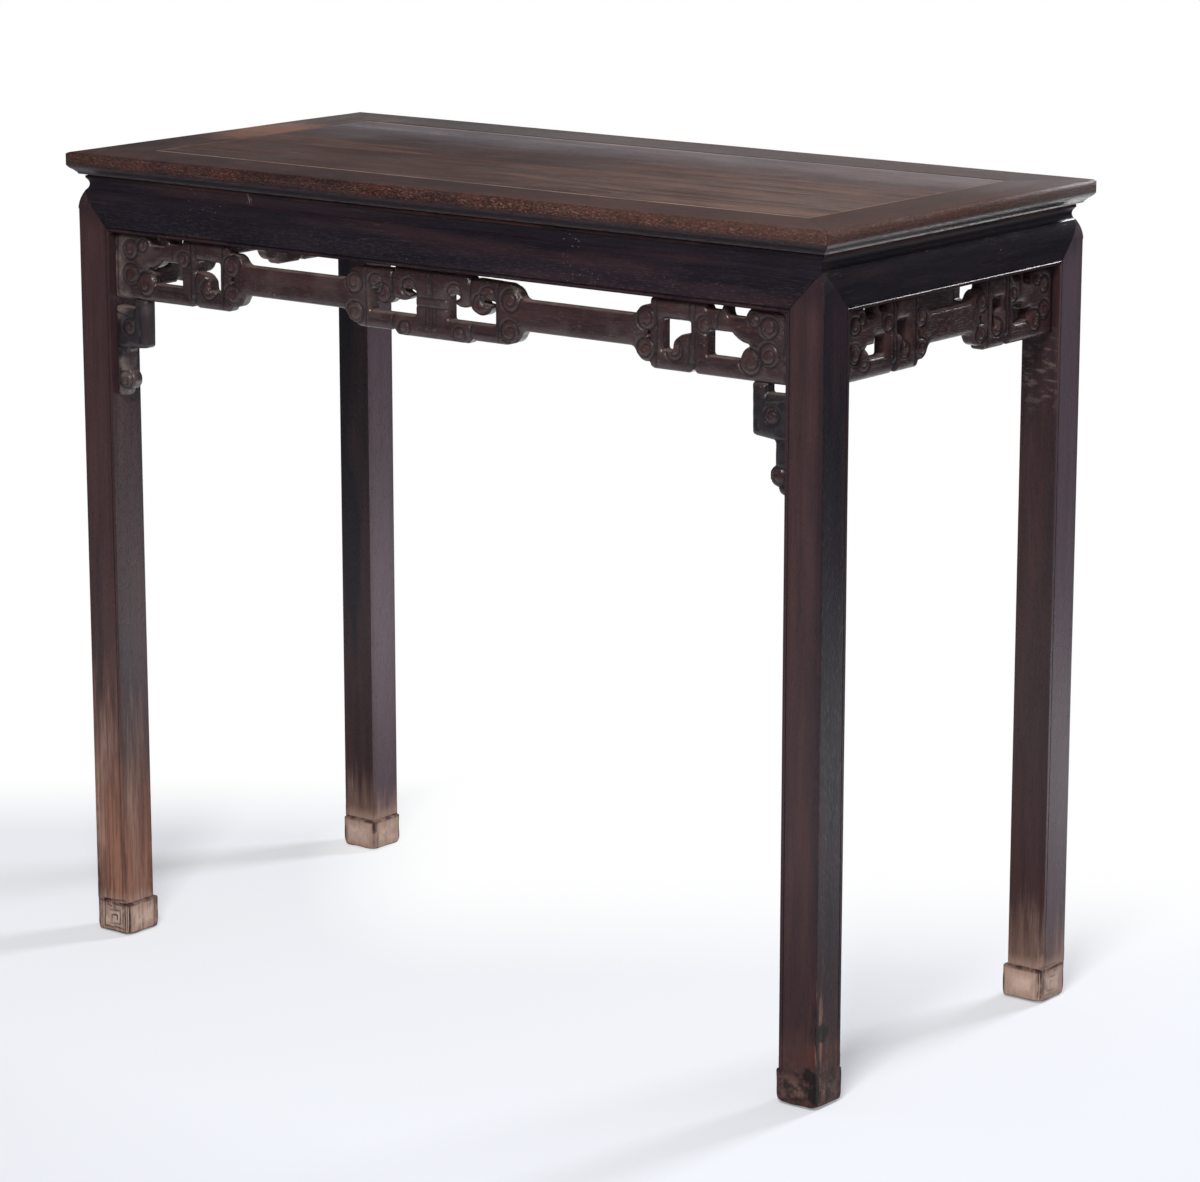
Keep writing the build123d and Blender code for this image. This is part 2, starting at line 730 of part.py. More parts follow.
def frieze(side):
    """One whole frieze: bar, frets at both ends and, on a long side, the centre block."""
    long_side = side in ("front", "back")
    kind = "long" if long_side else "short"
    eye = FRIEZE_PLACES[kind][2]
    bar_start = CENTRE_REACH if long_side else 0
    with BuildPart() as made:
        with BuildSketch(SIDES[side].face(FRIEZE_SETBACK)) as outline:
            with Locations(((bar_start + eye) / 2, (BAR_BOTTOM + BAR_TOP) / 2)):
                Rectangle(eye - bar_start, BAR_TOP - BAR_BOTTOM)
            if long_side:
                add(centre_half())
            add(fret_half(kind))
            fillet([corner for corner in outline.vertices() if where_bar_starts(corner)], radius=BAR_FLARE)
            mirror(about=Plane.YZ)
        extrude(amount=-FRIEZE_THICKNESS)
        add(frieze_stubs(side))
        add(frieze_pins(side), mode=Mode.SUBTRACT)
        if side == "front":
            add(spandrel_pins(), mode=Mode.SUBTRACT)
    return made


for side in SIDES:
    save(frieze(side), f"frieze_{side}")
    with BuildPart() as pins:
        add(frieze_pins(side))
    save(pins, f"frieze_pins_{side}")


# ---- hanging spandrels of the front legs ---------------------------------------------------
SPANDREL_OUTER = 384
STEM_INNER = 401         # the stem that meets the frieze ends here, beside a small window
WINDOW_FLOOR = 682.5
STRIP_EDGE = 411         # the narrow strip that runs down the leg
SHELF = 640              # underside of the wide upper part
DISC = (415, 605.5)
DISC_RADIUS = 10.5
SPANDREL_FOOT = 587.5


def spandrel(sign):
    """A spandrel with its upper step, its strip down the leg and the round scroll at its end."""
    with BuildPart() as made:
        with BuildSketch(SIDES["front"].face(FRIEZE_SETBACK)):
            with BuildLine():
                Polyline(
                    (sign * SPANDREL_OUTER, FRIEZE_BOTTOM),
                    (sign * (SPANDREL_OUTER + 1), SHELF + 3),
                    (sign * (SPANDREL_OUTER + 3), SHELF + 1),
                    (sign * (STRIP_EDGE - 4), SHELF - 1),
                )
                ThreePointArc(
                    (sign * (STRIP_EDGE - 4), SHELF - 1),
                    (sign * (STRIP_EDGE - 1), SHELF - 2.2),
                    (sign * STRIP_EDGE, SHELF - 5),
                )
                Polyline(
                    (sign * STRIP_EDGE, SHELF - 5),
                    (sign * STRIP_EDGE, DISC[1]),
                    (sign * DISC[0], SPANDREL_FOOT + 7),
                )
                ThreePointArc(
                    (sign * DISC[0], SPANDREL_FOOT + 7),
                    (sign * (DISC[0] + 3), SPANDREL_FOOT + 1.5),
                    (sign * (DISC[0] + 8), SPANDREL_FOOT),
                )
                Polyline(
                    (sign * (DISC[0] + 8), SPANDREL_FOOT),
                    (sign * INNER_X, SPANDREL_FOOT),
                    (sign * INNER_X, WINDOW_FLOOR),
                    (sign * STEM_INNER, WINDOW_FLOOR - 1),
                    (sign * STEM_INNER, FRIEZE_BOTTOM),
                    (sign * SPANDREL_OUTER, FRIEZE_BOTTOM),
                )
            make_face()
            with Locations((sign * DISC[0], DISC[1])):
                Circle(DISC_RADIUS)
        extrude(amount=-FRIEZE_THICKNESS)
        add(spandrel_pins(), mode=Mode.SUBTRACT)
    return made


save(spandrel(-1), "spandrel_left")
save(spandrel(1), "spandrel_right")
with BuildPart() as pins:
    add(spandrel_pins())
save(pins, "spandrel_pins")
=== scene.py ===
"""Carves, wears and finishes a waisted altar table of dark hardwood, and sets it on a pale stage.

Lengths are metres, as in the frame. X runs along the table, -Y is its front and Z is up.
"""

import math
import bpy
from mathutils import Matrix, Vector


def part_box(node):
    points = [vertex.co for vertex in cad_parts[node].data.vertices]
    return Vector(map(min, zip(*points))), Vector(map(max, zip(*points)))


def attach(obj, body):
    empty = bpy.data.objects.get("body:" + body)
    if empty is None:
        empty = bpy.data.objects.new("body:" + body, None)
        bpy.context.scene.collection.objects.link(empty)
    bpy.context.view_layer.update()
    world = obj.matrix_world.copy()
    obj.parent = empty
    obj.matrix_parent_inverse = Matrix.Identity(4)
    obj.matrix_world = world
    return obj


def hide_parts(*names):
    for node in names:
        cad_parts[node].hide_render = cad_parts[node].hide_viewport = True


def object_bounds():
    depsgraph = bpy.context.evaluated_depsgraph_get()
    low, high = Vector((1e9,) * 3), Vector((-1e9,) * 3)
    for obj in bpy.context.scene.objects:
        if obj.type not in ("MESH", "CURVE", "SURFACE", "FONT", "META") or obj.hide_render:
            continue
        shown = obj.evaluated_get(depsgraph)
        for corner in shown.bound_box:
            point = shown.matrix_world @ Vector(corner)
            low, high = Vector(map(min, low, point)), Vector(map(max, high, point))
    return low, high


bl_info = {
    "name": "Altar Table Finisher",
    "version": (1, 0, 0),
    "blender": (4, 5, 0),
    "location": "3D View > Sidebar > Altar Table",
    "description": "Carves, wears and finishes the framed altar table and sets its stage",
    "category": "Object",
}

from collections import namedtuple

import bmesh
import bpy
import numpy as np
from mathutils import Vector, noise
from mathutils.kdtree import KDTree

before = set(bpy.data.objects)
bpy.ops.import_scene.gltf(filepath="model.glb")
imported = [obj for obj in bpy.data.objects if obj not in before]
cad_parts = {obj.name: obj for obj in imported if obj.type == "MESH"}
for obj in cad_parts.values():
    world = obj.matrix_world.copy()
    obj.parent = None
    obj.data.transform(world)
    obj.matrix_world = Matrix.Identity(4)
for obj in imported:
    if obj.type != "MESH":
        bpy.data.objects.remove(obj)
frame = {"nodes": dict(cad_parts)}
CAD_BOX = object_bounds()
MM = 0.001

# ---- places, read from the frame, and sizes of the parts -----------------------------------
TOP_X = CAD_BOX[1].x
TOP_Y = CAD_BOX[1].y
TOP_Z = CAD_BOX[1].z
LEG_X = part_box("leg_front_right")[1].x
LEG_Y = -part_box("leg_front_right")[0].y
FOOT_SIZE = LEG_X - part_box("leg_front_right")[0].x
RAIL_WIDTH = 66 * MM
RAIL_THICKNESS = 23 * MM
PANEL_X = TOP_X - RAIL_WIDTH
PANEL_Y = TOP_Y - RAIL_WIDTH
FRIEZE_SETBACK = LEG_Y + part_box("frieze_front")[0].y
APRON_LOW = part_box("frieze_front")[1].z
LEG_SIZE = 42 * MM
FOOT_HEIGHT = 35 * MM
SHOULDER_RISE = 46 * MM
WAIST_TOP = TOP_Z - RAIL_THICKNESS
WAIST_CHIP = (-0.2365, -LEG_Y + 7 * MM, 0.809)


class Side:
    """One side of the table: the way it runs, the way it faces and where its leg faces lie."""

    def __init__(self, along, outward, depth, reach):
        self.along = Vector(along)
        self.outward = Vector(outward)
        self.depth = depth
        self.reach = reach


SIDES = {
    "front": Side((1, 0, 0), (0, -1, 0), LEG_Y, LEG_X),
    "back": Side((-1, 0, 0), (0, 1, 0), LEG_Y, LEG_X),
    "left": Side((0, -1, 0), (-1, 0, 0), LEG_X, LEG_Y),
    "right": Side((0, 1, 0), (1, 0, 0), LEG_X, LEG_Y),
}
LEGS = {
    "front_left": (-1, -1),
    "front_right": (1, -1),
    "back_left": (-1, 1),
    "back_right": (1, 1),
}


# ---- what a user would change ---------------------------------------------------------------
def linear(red, green, blue):
    """A colour given as 0-255 display values, as the linear colour that shaders use."""
    values = [channel / 255 for channel in (red, green, blue)]
    bent = [v / 12.92 if v <= 0.04045 else ((v + 0.055) / 1.055) ** 2.4 for v in values]
    return (*bent, 1.0)


def colour_property(name, description, default):
    return bpy.props.FloatVectorProperty(
        name=name, description=description, default=default, size=4, subtype="COLOR", min=0, max=1
    )


def length_property(name, description, default):
    return bpy.props.FloatProperty(
        name=name, description=description, default=default, min=0, unit="LENGTH"
    )


class AltarSizes(bpy.types.PropertyGroup):
    """How deep the carving and the wear go."""

    arris: length_property("Arris", "Rounding of the long edges", 0.9 * MM)
    foot_arris: length_property("Foot arris", "Rounding of the feet's worn corners", 3.4 * MM)
    fret: length_property("Foot fret", "Depth of the lines cut in the feet", 1.1 * MM)
    edge_round: length_property("Edge rounding", "Rounding of the top's worn outer edge", 6.0 * MM)
    dent: length_property("Dents", "Deepest dent along the long edges", 0.9 * MM)
    carving_voxel: length_property("Carving grain", "Size of the carved pieces' facets", 1.2 * MM)
    groove: length_property("Groove", "Depth of the carved grooves", 1.8 * MM)
    pillow: length_property("Pillow", "How far the carving rolls over at its edges", 3.6 * MM)
    pillow_width: length_property("Pillow width", "Width of the rolled edge", 8.0 * MM)


class AltarColours(bpy.types.PropertyGroup):
    """The finishes' colours."""

    frame: colour_property("Frame", "Wood of the top's frame", linear(65, 46, 43))
    frame_worn: colour_property("Worn frame", "Rubbed edge of the top", linear(76, 45, 40))
    panel: colour_property("Panel", "Wood of the top's panel", linear(84, 62, 55))
    apron: colour_property("Apron", "Near-black wood of the aprons", linear(25, 19, 27))
    leg: colour_property("Leg", "Reddish brown wood of the legs", linear(60, 40, 40))
    carved: colour_property("Carving", "Wood of the friezes", linear(47, 30, 32))
    spandrel: colour_property("Spandrel", "Dark wood of the spandrels", linear(36, 31, 35))
    faded: colour_property("Faded wood", "Faded foot of a leg", linear(150, 106, 86))
    scuffed: colour_property("Scuffed wood", "Lower end of the other legs", linear(118, 92, 80))
    pale: colour_property("Dusty foot", "Feet, scuffed and dusty", linear(176, 146, 130))
    chalk: colour_property("Bare foot", "Rubbed middle of a foot's faces", linear(206, 180, 164))
    # Painted sheen: a purplish grey laid where the legs' faces and the panel's back catch the light
    painted_sheen: colour_property("Haze", "Purplish bloom on the dark wood", linear(100, 86, 96))
    # Dusty grey; on the panel it also lays a painted sheen towards the right
    dust_and_sheen: colour_property("Dust", "Dust in the carving and the pores", linear(128, 114, 108))
    # Grime in pores, joints and stains, and painted shade in the carving's grooves
    inner: colour_property("Inner wood", "Unfinished wood under the top", linear(84, 64, 54))
    grime_and_shade: colour_property("Grime", "Black grime in grooves and joints", linear(14, 11, 13))
    floor: colour_property("Floor", "Pale floor", linear(236, 239, 244))


def table_sizes():
    return bpy.context.scene.altar_sizes


# ---- mesh tools -----------------------------------------------------------------------------
def solid_copy(node):
    """A bmesh of a framed piece, merged and with its flat faces whole again."""
    bm = bmesh.new()
    bm.from_mesh(frame["nodes"][node].data)
    bmesh.ops.remove_doubles(bm, verts=bm.verts, dist=0.01 * MM)
    bmesh.ops.dissolve_limit(bm, angle_limit=math.radians(0.3), verts=bm.verts, edges=bm.edges)
    return bm


def slice_across(bm, axis, places, geometry=None):
    """Cuts the mesh by planes square to an axis, so that it has points to shape there.

    Only the given geometry is cut, if any is given. Gives back what it has become.
    """
    normal = Vector((0, 0, 0))
    normal[axis] = 1
    for place in places:
        cut = bmesh.ops.bisect_plane(
            bm,
            geom=geometry or bm.verts[:] + bm.edges[:] + bm.faces[:],
            plane_co=normal * place,
            plane_no=normal,
            dist=1e-7,
        )
        if geometry:
            geometry = cut["geom"]
    return geometry


def steps(start, end, size):
    """Even places strictly between start and end, about size apart."""
    count = max(1, round((end - start) / size))
    return [start + (end - start) * i / count for i in range(1, count)]


def is_sharp(edge, degrees=28):
    return edge.is_manifold and edge.calc_face_angle() > math.radians(degrees)


def runs_along(edge, axis, shortest):
    """True for a straight edge along an axis that is at least so long."""
    way = edge.verts[1].co - edge.verts[0].co
    return way.length > shortest and abs(way[axis]) > 0.999 * way.length


def round_edges(bm, edges, width, segments=2):
    """Rounds the chosen edges."""
    if edges:
        bmesh.ops.bevel(
            bm,
            geom=edges,
            offset=width,
            affect="EDGES",
            segments=segments,
            profile=0.5,
            material=-1,
            clamp_overlap=False,
        )


def smooth_by_angle(bm, degrees):
    """Shades the faces smooth and keeps the edges sharp that turn by more."""
    for face in bm.faces:
        face.smooth = True
    for edge in bm.edges:
        edge.smooth = not edge.is_manifold or edge.calc_face_angle() < math.radians(degrees)


def mottle(point, size, seed):
    """Seeded smooth noise from -1 to 1 with features of about the given size."""
    return noise.noise((point + Vector((seed, 2.3 * seed, -1.7 * seed))) / size)


def mesh_of(bm, name):
    """Turns a bmesh into a mesh and frees it."""
    mesh = bpy.data.meshes.new(name)
    bm.to_mesh(mesh)
    bm.free()
    return mesh


def add_object(name, data):
    thing = bpy.data.objects.new(name, data)
    bpy.context.scene.collection.objects.link(thing)
    return thing


def make_piece(mesh, name, node, finish):
    """Adds a mesh as a piece that stands for a framed node and wears its finish."""
    piece = add_object(name, mesh)
    mesh.materials.clear()
    mesh.materials.append(finish)
    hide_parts(node)
    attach(piece, "root")
    return piece


def make_worn(bm, node, finish, degrees=32):
    """Shades a worn mesh and adds it as the piece that stands for a framed node."""
    smooth_by_angle(bm, degrees)
    name = f"{node}_worn"
    make_piece(mesh_of(bm, name), name, node, finish)


# ---- shader tools ---------------------------------------------------------------------------
class Value:
    """A shader node's output. A sum or product of values adds the node that works it out."""

    def __init__(self, shader, socket):
        self.shader = shader
        self.socket = socket

    def __add__(self, other):
        return self.shader.math("ADD", self, other)

    def __sub__(self, other):
        return self.shader.math("SUBTRACT", self, other)

    def __rsub__(self, other):
        return self.shader.math("SUBTRACT", other, self)

    def __mul__(self, other):
        return self.shader.math("MULTIPLY", self, other)

    def __truediv__(self, other):
        return self.shader.math("DIVIDE", self, other)

    def __pow__(self, other):
        return self.shader.math("POWER", self, other)

    def __abs__(self):
        return self.shader.math("ABSOLUTE", self)

    def most(self, other):
        return self.shader.math("MAXIMUM", self, other)

    def least(self, other):
        return self.shader.math("MINIMUM", self, other)

    def ramp(self, low, high, to_low, to_high):
        """Smoothly from one value to another while this one goes from low to high."""
        inputs = {0: self, 1: low, 2: high, 3: to_low, 4: to_high}
        return self.shader.read("ShaderNodeMapRange", 0, inputs, interpolation_type="SMOOTHSTEP")

    def rise(self, low, high, top=1.0):
        """Smoothly from 0 up to top."""
        return self.ramp(low, high, 0.0, top)

    def fade(self, low, high, top=1.0):
        """Smoothly from top down to 0."""
        return self.ramp(low, high, top, 0.0)


class Shader:
    """Short forms for adding nodes to a material or to a node group."""

    def __init__(self, tree):
        self.tree = tree
        self.count = 0

    def add(self, kind, inputs=None, **settings):
        """Adds a node. Inputs are constants or values, by socket name or number."""
        node = self.tree.nodes.new(kind)
        node.location = (200 * (self.count // 6), -260 * (self.count % 6))
        self.count += 1
        for key, setting in settings.items():
            setattr(node, key, setting)
        for key, given in (inputs or {}).items():
            if isinstance(given, Value):
                self.tree.links.new(given.socket, node.inputs[key])
            else:
                node.inputs[key].default_value = given
        return node

    def read(self, kind, output, inputs=None, **settings):
        """Adds a node and gives back one of its outputs, by name or number."""
        return Value(self, self.add(kind, inputs, **settings).outputs[output])

    def math(self, operation, first, second=0.0, clamp=False):
        inputs = {0: first, 1: second}
        return self.read("ShaderNodeMath", 0, inputs, operation=operation, use_clamp=clamp)

    def mix(self, factor, first, second, blend="MIX"):
        """Mixes two colours."""
        inputs = {0: factor, 6: first, 7: second}
        return self.read("ShaderNodeMix", 2, inputs, data_type="RGBA", blend_type=blend)

    def choose(self, factor, first, second):
        """The first number where the factor is 0 and the second where it is 1."""
        return self.read("ShaderNodeMix", 0, {0: factor, 2: first, 3: second}, data_type="FLOAT")

    def noise(self, vector, scale, detail=2.0, roughness=0.5, distortion=0.0):
        inputs = {
            "Vector": vector,
            "Scale": scale,
            "Detail": detail,
            "Roughness": roughness,
            "Distortion": distortion,
        }
        return self.read("ShaderNodeTexNoise", 0, inputs)

    def stretch(self, vector, scale, turn=(0, 0, 0), move=(0, 0, 0)):
        inputs = {"Vector": vector, "Location": move, "Rotation": turn, "Scale": scale}
        return self.read("ShaderNodeMapping", 0, inputs)

    def streaks(self, vector, scale, detail, roughness=0.5, shift=0, distortion=0.0):
        """Noise with a scale of its own along each axis."""
        moved = self.stretch(vector, scale, move=(shift, 0, 0))
        return self.noise(moved, 1.0, detail, roughness, distortion)

    def distance(self, vector, point):
        inputs = {0: vector, 1: point}
        return self.read("ShaderNodeVectorMath", "Value", inputs, operation="DISTANCE")

    def parts(self, vector):
        """The vector's x, y and z."""
        node = self.add("ShaderNodeSeparateXYZ", {0: vector})
        return [Value(self, socket) for socket in node.outputs]


def node_group(name, inputs, outputs):
    """An empty shader node group with the given sockets, as a Shader and its inputs' values."""
    tree = bpy.data.node_groups.new(name, "ShaderNodeTree")
    for in_out, sockets in (("INPUT", inputs), ("OUTPUT", outputs)):
        for label, kind in sockets.items():
            tree.interface.new_socket(name=label, in_out=in_out, socket_type=f"NodeSocket{kind}")
    shader = Shader(tree)
    node = shader.add("NodeGroupInput")
    return shader, {label: Value(shader, node.outputs[label]) for label in inputs}


def close_group(shader, outputs):
    shader.add("NodeGroupOutput", outputs)
    return shader.tree


def grain_group():
    """Figure, fibre and open pores of a hardwood. The vector's x runs along the grain."""
    shader, given = node_group(
        "Hardwood grain",
        {
            "Vector": "Vector",
            "Wood": "Color",
            "Pore": "Color",
            "Contrast": "Float",
            "Pore share": "Float",
        },
        {"Color": "Color", "Height": "Float", "Figure": "Float"},
    )
    vector = given["Vector"]
    broad = shader.streaks(vector, (2.2, 26, 26), 4, 0.55, distortion=0.8)
    bands = shader.streaks(vector, (5, 95, 95), 3, 0.6, distortion=0.4)
    fibre = shader.streaks(vector, (22, 620, 620), 2, 0.6)
    dashes = shader.streaks(vector, (110, 1050, 1050), 1, 0.4)
    cloud = shader.noise(vector, 5, 3, 0.6)
    figure = broad * 0.6 + bands * 0.4
    tone = figure.ramp(0.36, 0.64, -1, 1) + cloud.ramp(0.3, 0.7, -0.6, 0.6)
    tone = (tone + fibre.ramp(0.25, 0.75, -0.7, 0.7)) * given["Contrast"] + 1.0
    inputs = {0: given["Wood"], 3: tone}
    toned = shader.read("ShaderNodeVectorMath", 0, inputs, operation="SCALE")
    pores = dashes.rise(0.60, 0.68) * given["Pore share"]
    colour = shader.mix(pores, toned, given["Pore"])
    height = fibre * 0.5 - dashes.rise(0.58, 0.68)
    return close_group(shader, {"Color": colour, "Height": height, "Figure": figure})


def wear_group():
    """A ragged mask that is 1 on an arris and fades out a width away from it."""
    inputs = {"Vector": "Vector", "Distance": "Float", "Width": "Float"}
    shader, given = node_group("Edge wear", inputs, {"Mask": "Float"})
    patchy = shader.noise(given["Vector"], 14, 4, 0.6).ramp(0.35, 0.65, 0.25, 1.6)
    ragged = shader.noise(given["Vector"], 160, 3, 0.65).ramp(0.3, 0.7, 0.3, 1.7)
    share = given["Distance"] / (given["Width"] * patchy * ragged)
    return close_group(shader, {"Mask": share.fade(0.4, 1.0)})


def scratch_group():
    """Sparse fine scratches that mostly follow the grain."""
    inputs = {"Vector": "Vector", "Amount": "Float"}
    shader, given = node_group("Scratches", inputs, {"Mask": "Float"})
    vector = given["Vector"]
    masks = []
    for turn, move in ((0.12, 0), (-0.35, 3), (1.1, 7)):
        turned = shader.stretch(vector, (3, 120, 120), (0, 0, turn), (move, 0, 0))
        thin = abs(shader.noise(turned, 1.0) - 0.5).fade(0.002, 0.008)
        masks.append(thin * shader.noise(vector, 9 + move).rise(0.52, 0.66))
    return close_group(shader, {"Mask": masks[0].most(masks[1]).most(masks[2]) * given["Amount"]})


GROUP_MAKERS = {"grain": grain_group, "wear": wear_group, "scratch": scratch_group}
made_groups = {}


def group_node(shader, name, inputs):
    """Places a shared node group, which is made on its first use, and gives back its outputs."""
    if name not in made_groups:
        made_groups[name] = GROUP_MAKERS[name]()
    node = shader.add("ShaderNodeGroup", inputs, node_tree=made_groups[name])
    return {socket.name: Value(shader, socket) for socket in node.outputs}


def empty_tree(owner):
    """The cleared node tree of a new material or world, as a Shader."""
    owner.use_nodes = True
    owner.node_tree.nodes.clear()
    return Shader(owner.node_tree)


GRAIN_TURNS = {
    "x": (0, 0, 0),
    "y": (0, 0, math.pi / 2),
    "z": (0, math.pi / 2, 0),
}


class Finish:
    """One wood finish while it is built: its shader, its place on the object and its layers."""

    def __init__(self, name, grain, wood, pore, contrast, pore_share, shift=0.0):
        self.material = bpy.data.materials.new(name)
        self.shader = empty_tree(self.material)
        self.place = self.shader.read("ShaderNodeTexCoord", "Object")
        self.x, self.y, self.z = self.shader.parts(self.place)
        turn = GRAIN_TURNS[grain]
        self.vector = self.shader.stretch(self.place, (1, 1, 1), turn, (shift, shift, 0))
        inputs = {
            "Vector": self.vector,
            "Wood": wood,
            "Pore": pore,
            "Contrast": contrast,
            "Pore share": pore_share,
        }
        wood_grain = group_node(self.shader, "grain", inputs)
        self.colour = wood_grain["Color"]
        self.height = wood_grain["Height"]
        self.rough = wood_grain["Figure"].ramp(0.3, 0.7, -0.06, 0.06)
        self.shine = None

    def cloud(self, scale, detail=2, roughness=0.5):
        """Even noise over the object."""
        return self.shader.noise(self.place, scale, detail, roughness)

    def streaks(self, along, across, detail, roughness, shift=0):
        """Noise drawn out along the grain. The first two numbers are its scales."""
        return self.shader.streaks(self.vector, (along, across, across), detail, roughness, shift)

    def worn(self, distance, width):
        """A ragged mask round an arris, from the distance to it."""
        inputs = {"Vector": self.place, "Distance": distance, "Width": width}
        return group_node(self.shader, "wear", inputs)["Mask"]

    def scratched(self, amount):
        return group_node(self.shader, "scratch", {"Vector": self.vector, "Amount": amount})["Mask"]

    def attribute(self, name):
        """What the mesh records about each of its points under that name."""
        return self.shader.read("ShaderNodeAttribute", "Fac", attribute_name=name)

    def tint(self, mask, colour, blend="MIX"):
        """Lays a colour over the wood where the mask says."""
        self.colour = self.shader.mix(mask, self.colour, colour, blend)

    def roughen(self, mask, amount):
        """Makes the finish rougher, or smoother with a negative amount, where the mask says."""
        self.rough = self.rough + mask * amount

    def sink(self, mask, amount):
        """Lowers the surface where the mask says."""
        self.height = self.height - mask * amount

    def polish(self, mask, dull, bright):
        """Sets the strength of the reflections: dull where the mask is 0, bright where it is 1."""
        self.shine = mask.ramp(0.0, 1.0, dull, bright)

    def close(self, roughness, specular, bump):
        """Adds the shader itself and gives back the material."""
        inputs = {"Height": self.height, "Strength": 1.0, "Distance": bump}
        normal = self.shader.read("ShaderNodeBump", 0, inputs)
        inputs = {
            "Base Color": self.colour,
            "Roughness": self.shader.math("ADD", self.rough, roughness, clamp=True),
            "Normal": normal,
            "Specular IOR Level": self.shine or specular,
        }
        surface = self.shader.read("ShaderNodeBsdfPrincipled", 0, inputs)
        self.shader.add("ShaderNodeOutputMaterial", {0: surface})
        return self.material


# ---- finishes -------------------------------------------------------------------------------
# In these, masks go from 0 to 1 and follow the place on the object, in metres, or a noise.
MITRE_LINE = 0.9 * MM             # widths of the dark lines in the joints
SHOULDER_LINE = 0.7 * MM
WARM_PATCH = (-0.43, 0.05, TOP_Z)
COOL = (0.96, 0.94, 1.15, 1.0)    # what the legs' shaded faces are multiplied by


def colours():
    return bpy.context.scene.altar_colours


def gaps(finish, half_x, half_y):
    """How far each point lies inside the sides of a rectangle centred on the table."""
    return half_x - abs(finish.x), half_y - abs(finish.y)


def arris_distance(finish, half_x, half_y, height):
    """Distance from the outer top arris of a box of that size, centred on the table."""
    gap_x, gap_y = gaps(finish, half_x, half_y)
    side = gap_x.least(gap_y).most(0.0)
    drop = abs(finish.z - height)
    return finish.shader.math("SQRT", side**2 + drop**2)


def mitre_mask(finish, half_x, half_y):
    """1 on the line that runs in at 45 degrees from each corner of a rectangle that size."""
    gap_x, gap_y = gaps(finish, half_x, half_y)
    return abs(gap_x - gap_y).fade(0.3 * MITRE_LINE, MITRE_LINE)


def shoulder_mask(finish, along, reach):
    """1 on the sloping line where an apron meets its leg, measured along one side."""
    height = finish.z - APRON_LOW
    run = abs(along) - (reach - LEG_SIZE)
    off = abs(run * (SHOULDER_RISE / LEG_SIZE) - height)
    return off.fade(0.3 * SHOULDER_LINE, SHOULDER_LINE) * height.rise(-1 * MM, 0.0)


def warm_patch(finish):
    """1 on a patch of the top near its left end, where the finish has worn thin."""
    off = finish.shader.distance(finish.place, WARM_PATCH)
    return (off + finish.cloud(11, 4, 0.6).ramp(0.3, 0.7, -0.06, 0.06)).fade(0.02, 0.15)


def frame_finish(grain):
    """The top's frame: dark brown, its edge rubbed and speckled above and polished below."""
    paint = colours()
    made = Finish(f"Frame wood {grain}", grain, paint.frame, paint.grime_and_shade, 0.34, 0.12)
    x, y = made.x, made.y
    distance = arris_distance(made, TOP_X, TOP_Y, TOP_Z)
    near = distance.fade(8 * MM, 24 * MM)
    lower = made.z.fade(TOP_Z - 14.5 * MM, TOP_Z - 10.5 * MM)
    side = x.ramp(-0.5, 0.35, 0.4, 1.0)
    patches = made.cloud(24, 4, 0.6).rise(0.38, 0.66)
    made.tint(made.worn(distance, 22 * MM) * (patches * side), paint.frame_worn)
    flecks = made.streaks(330, 900, 3, 0.75)
    bright = near * flecks.rise(0.54, 0.66, 0.85)
    made.tint(bright * side, paint.faded)
    black = near * flecks.fade(0.34, 0.46, 0.85)
    made.tint(black, paint.grime_and_shade)
    made.tint(made.cloud(9, 4, 0.6).rise(0.45, 0.7, 0.5), paint.apron)
    # Painted sheen: the top lighter towards the right
    made.tint(x.rise(-0.1, 0.42, 0.45), paint.panel)
    made.tint(warm_patch(made) * 0.6, paint.faded)
    made.tint(lower * 0.8, paint.apron)
    made.tint(made.scratched(0.2) * (1.0 - lower), paint.dust_and_sheen)
    made.tint(mitre_mask(made, TOP_X, TOP_Y) * 0.5, paint.grime_and_shade)
    made.roughen(lower, -0.2 if grain == "x" else -0.3)
    made.roughen(y.rise(-0.2, 0.22), -0.16)
    made.sink(black, 0.8)
    made.sink(bright, -0.4)
    far = y.rise(0.0, 0.24, 0.7) * x.ramp(-0.4, 0.1, 0.45, 1.0)
    gloss = 0.45 if grain == "x" else 1.0
    made.polish((lower * gloss).most(far), 0.06, 0.6)
    return made.close(0.62, 0.2, 0.35 * MM)


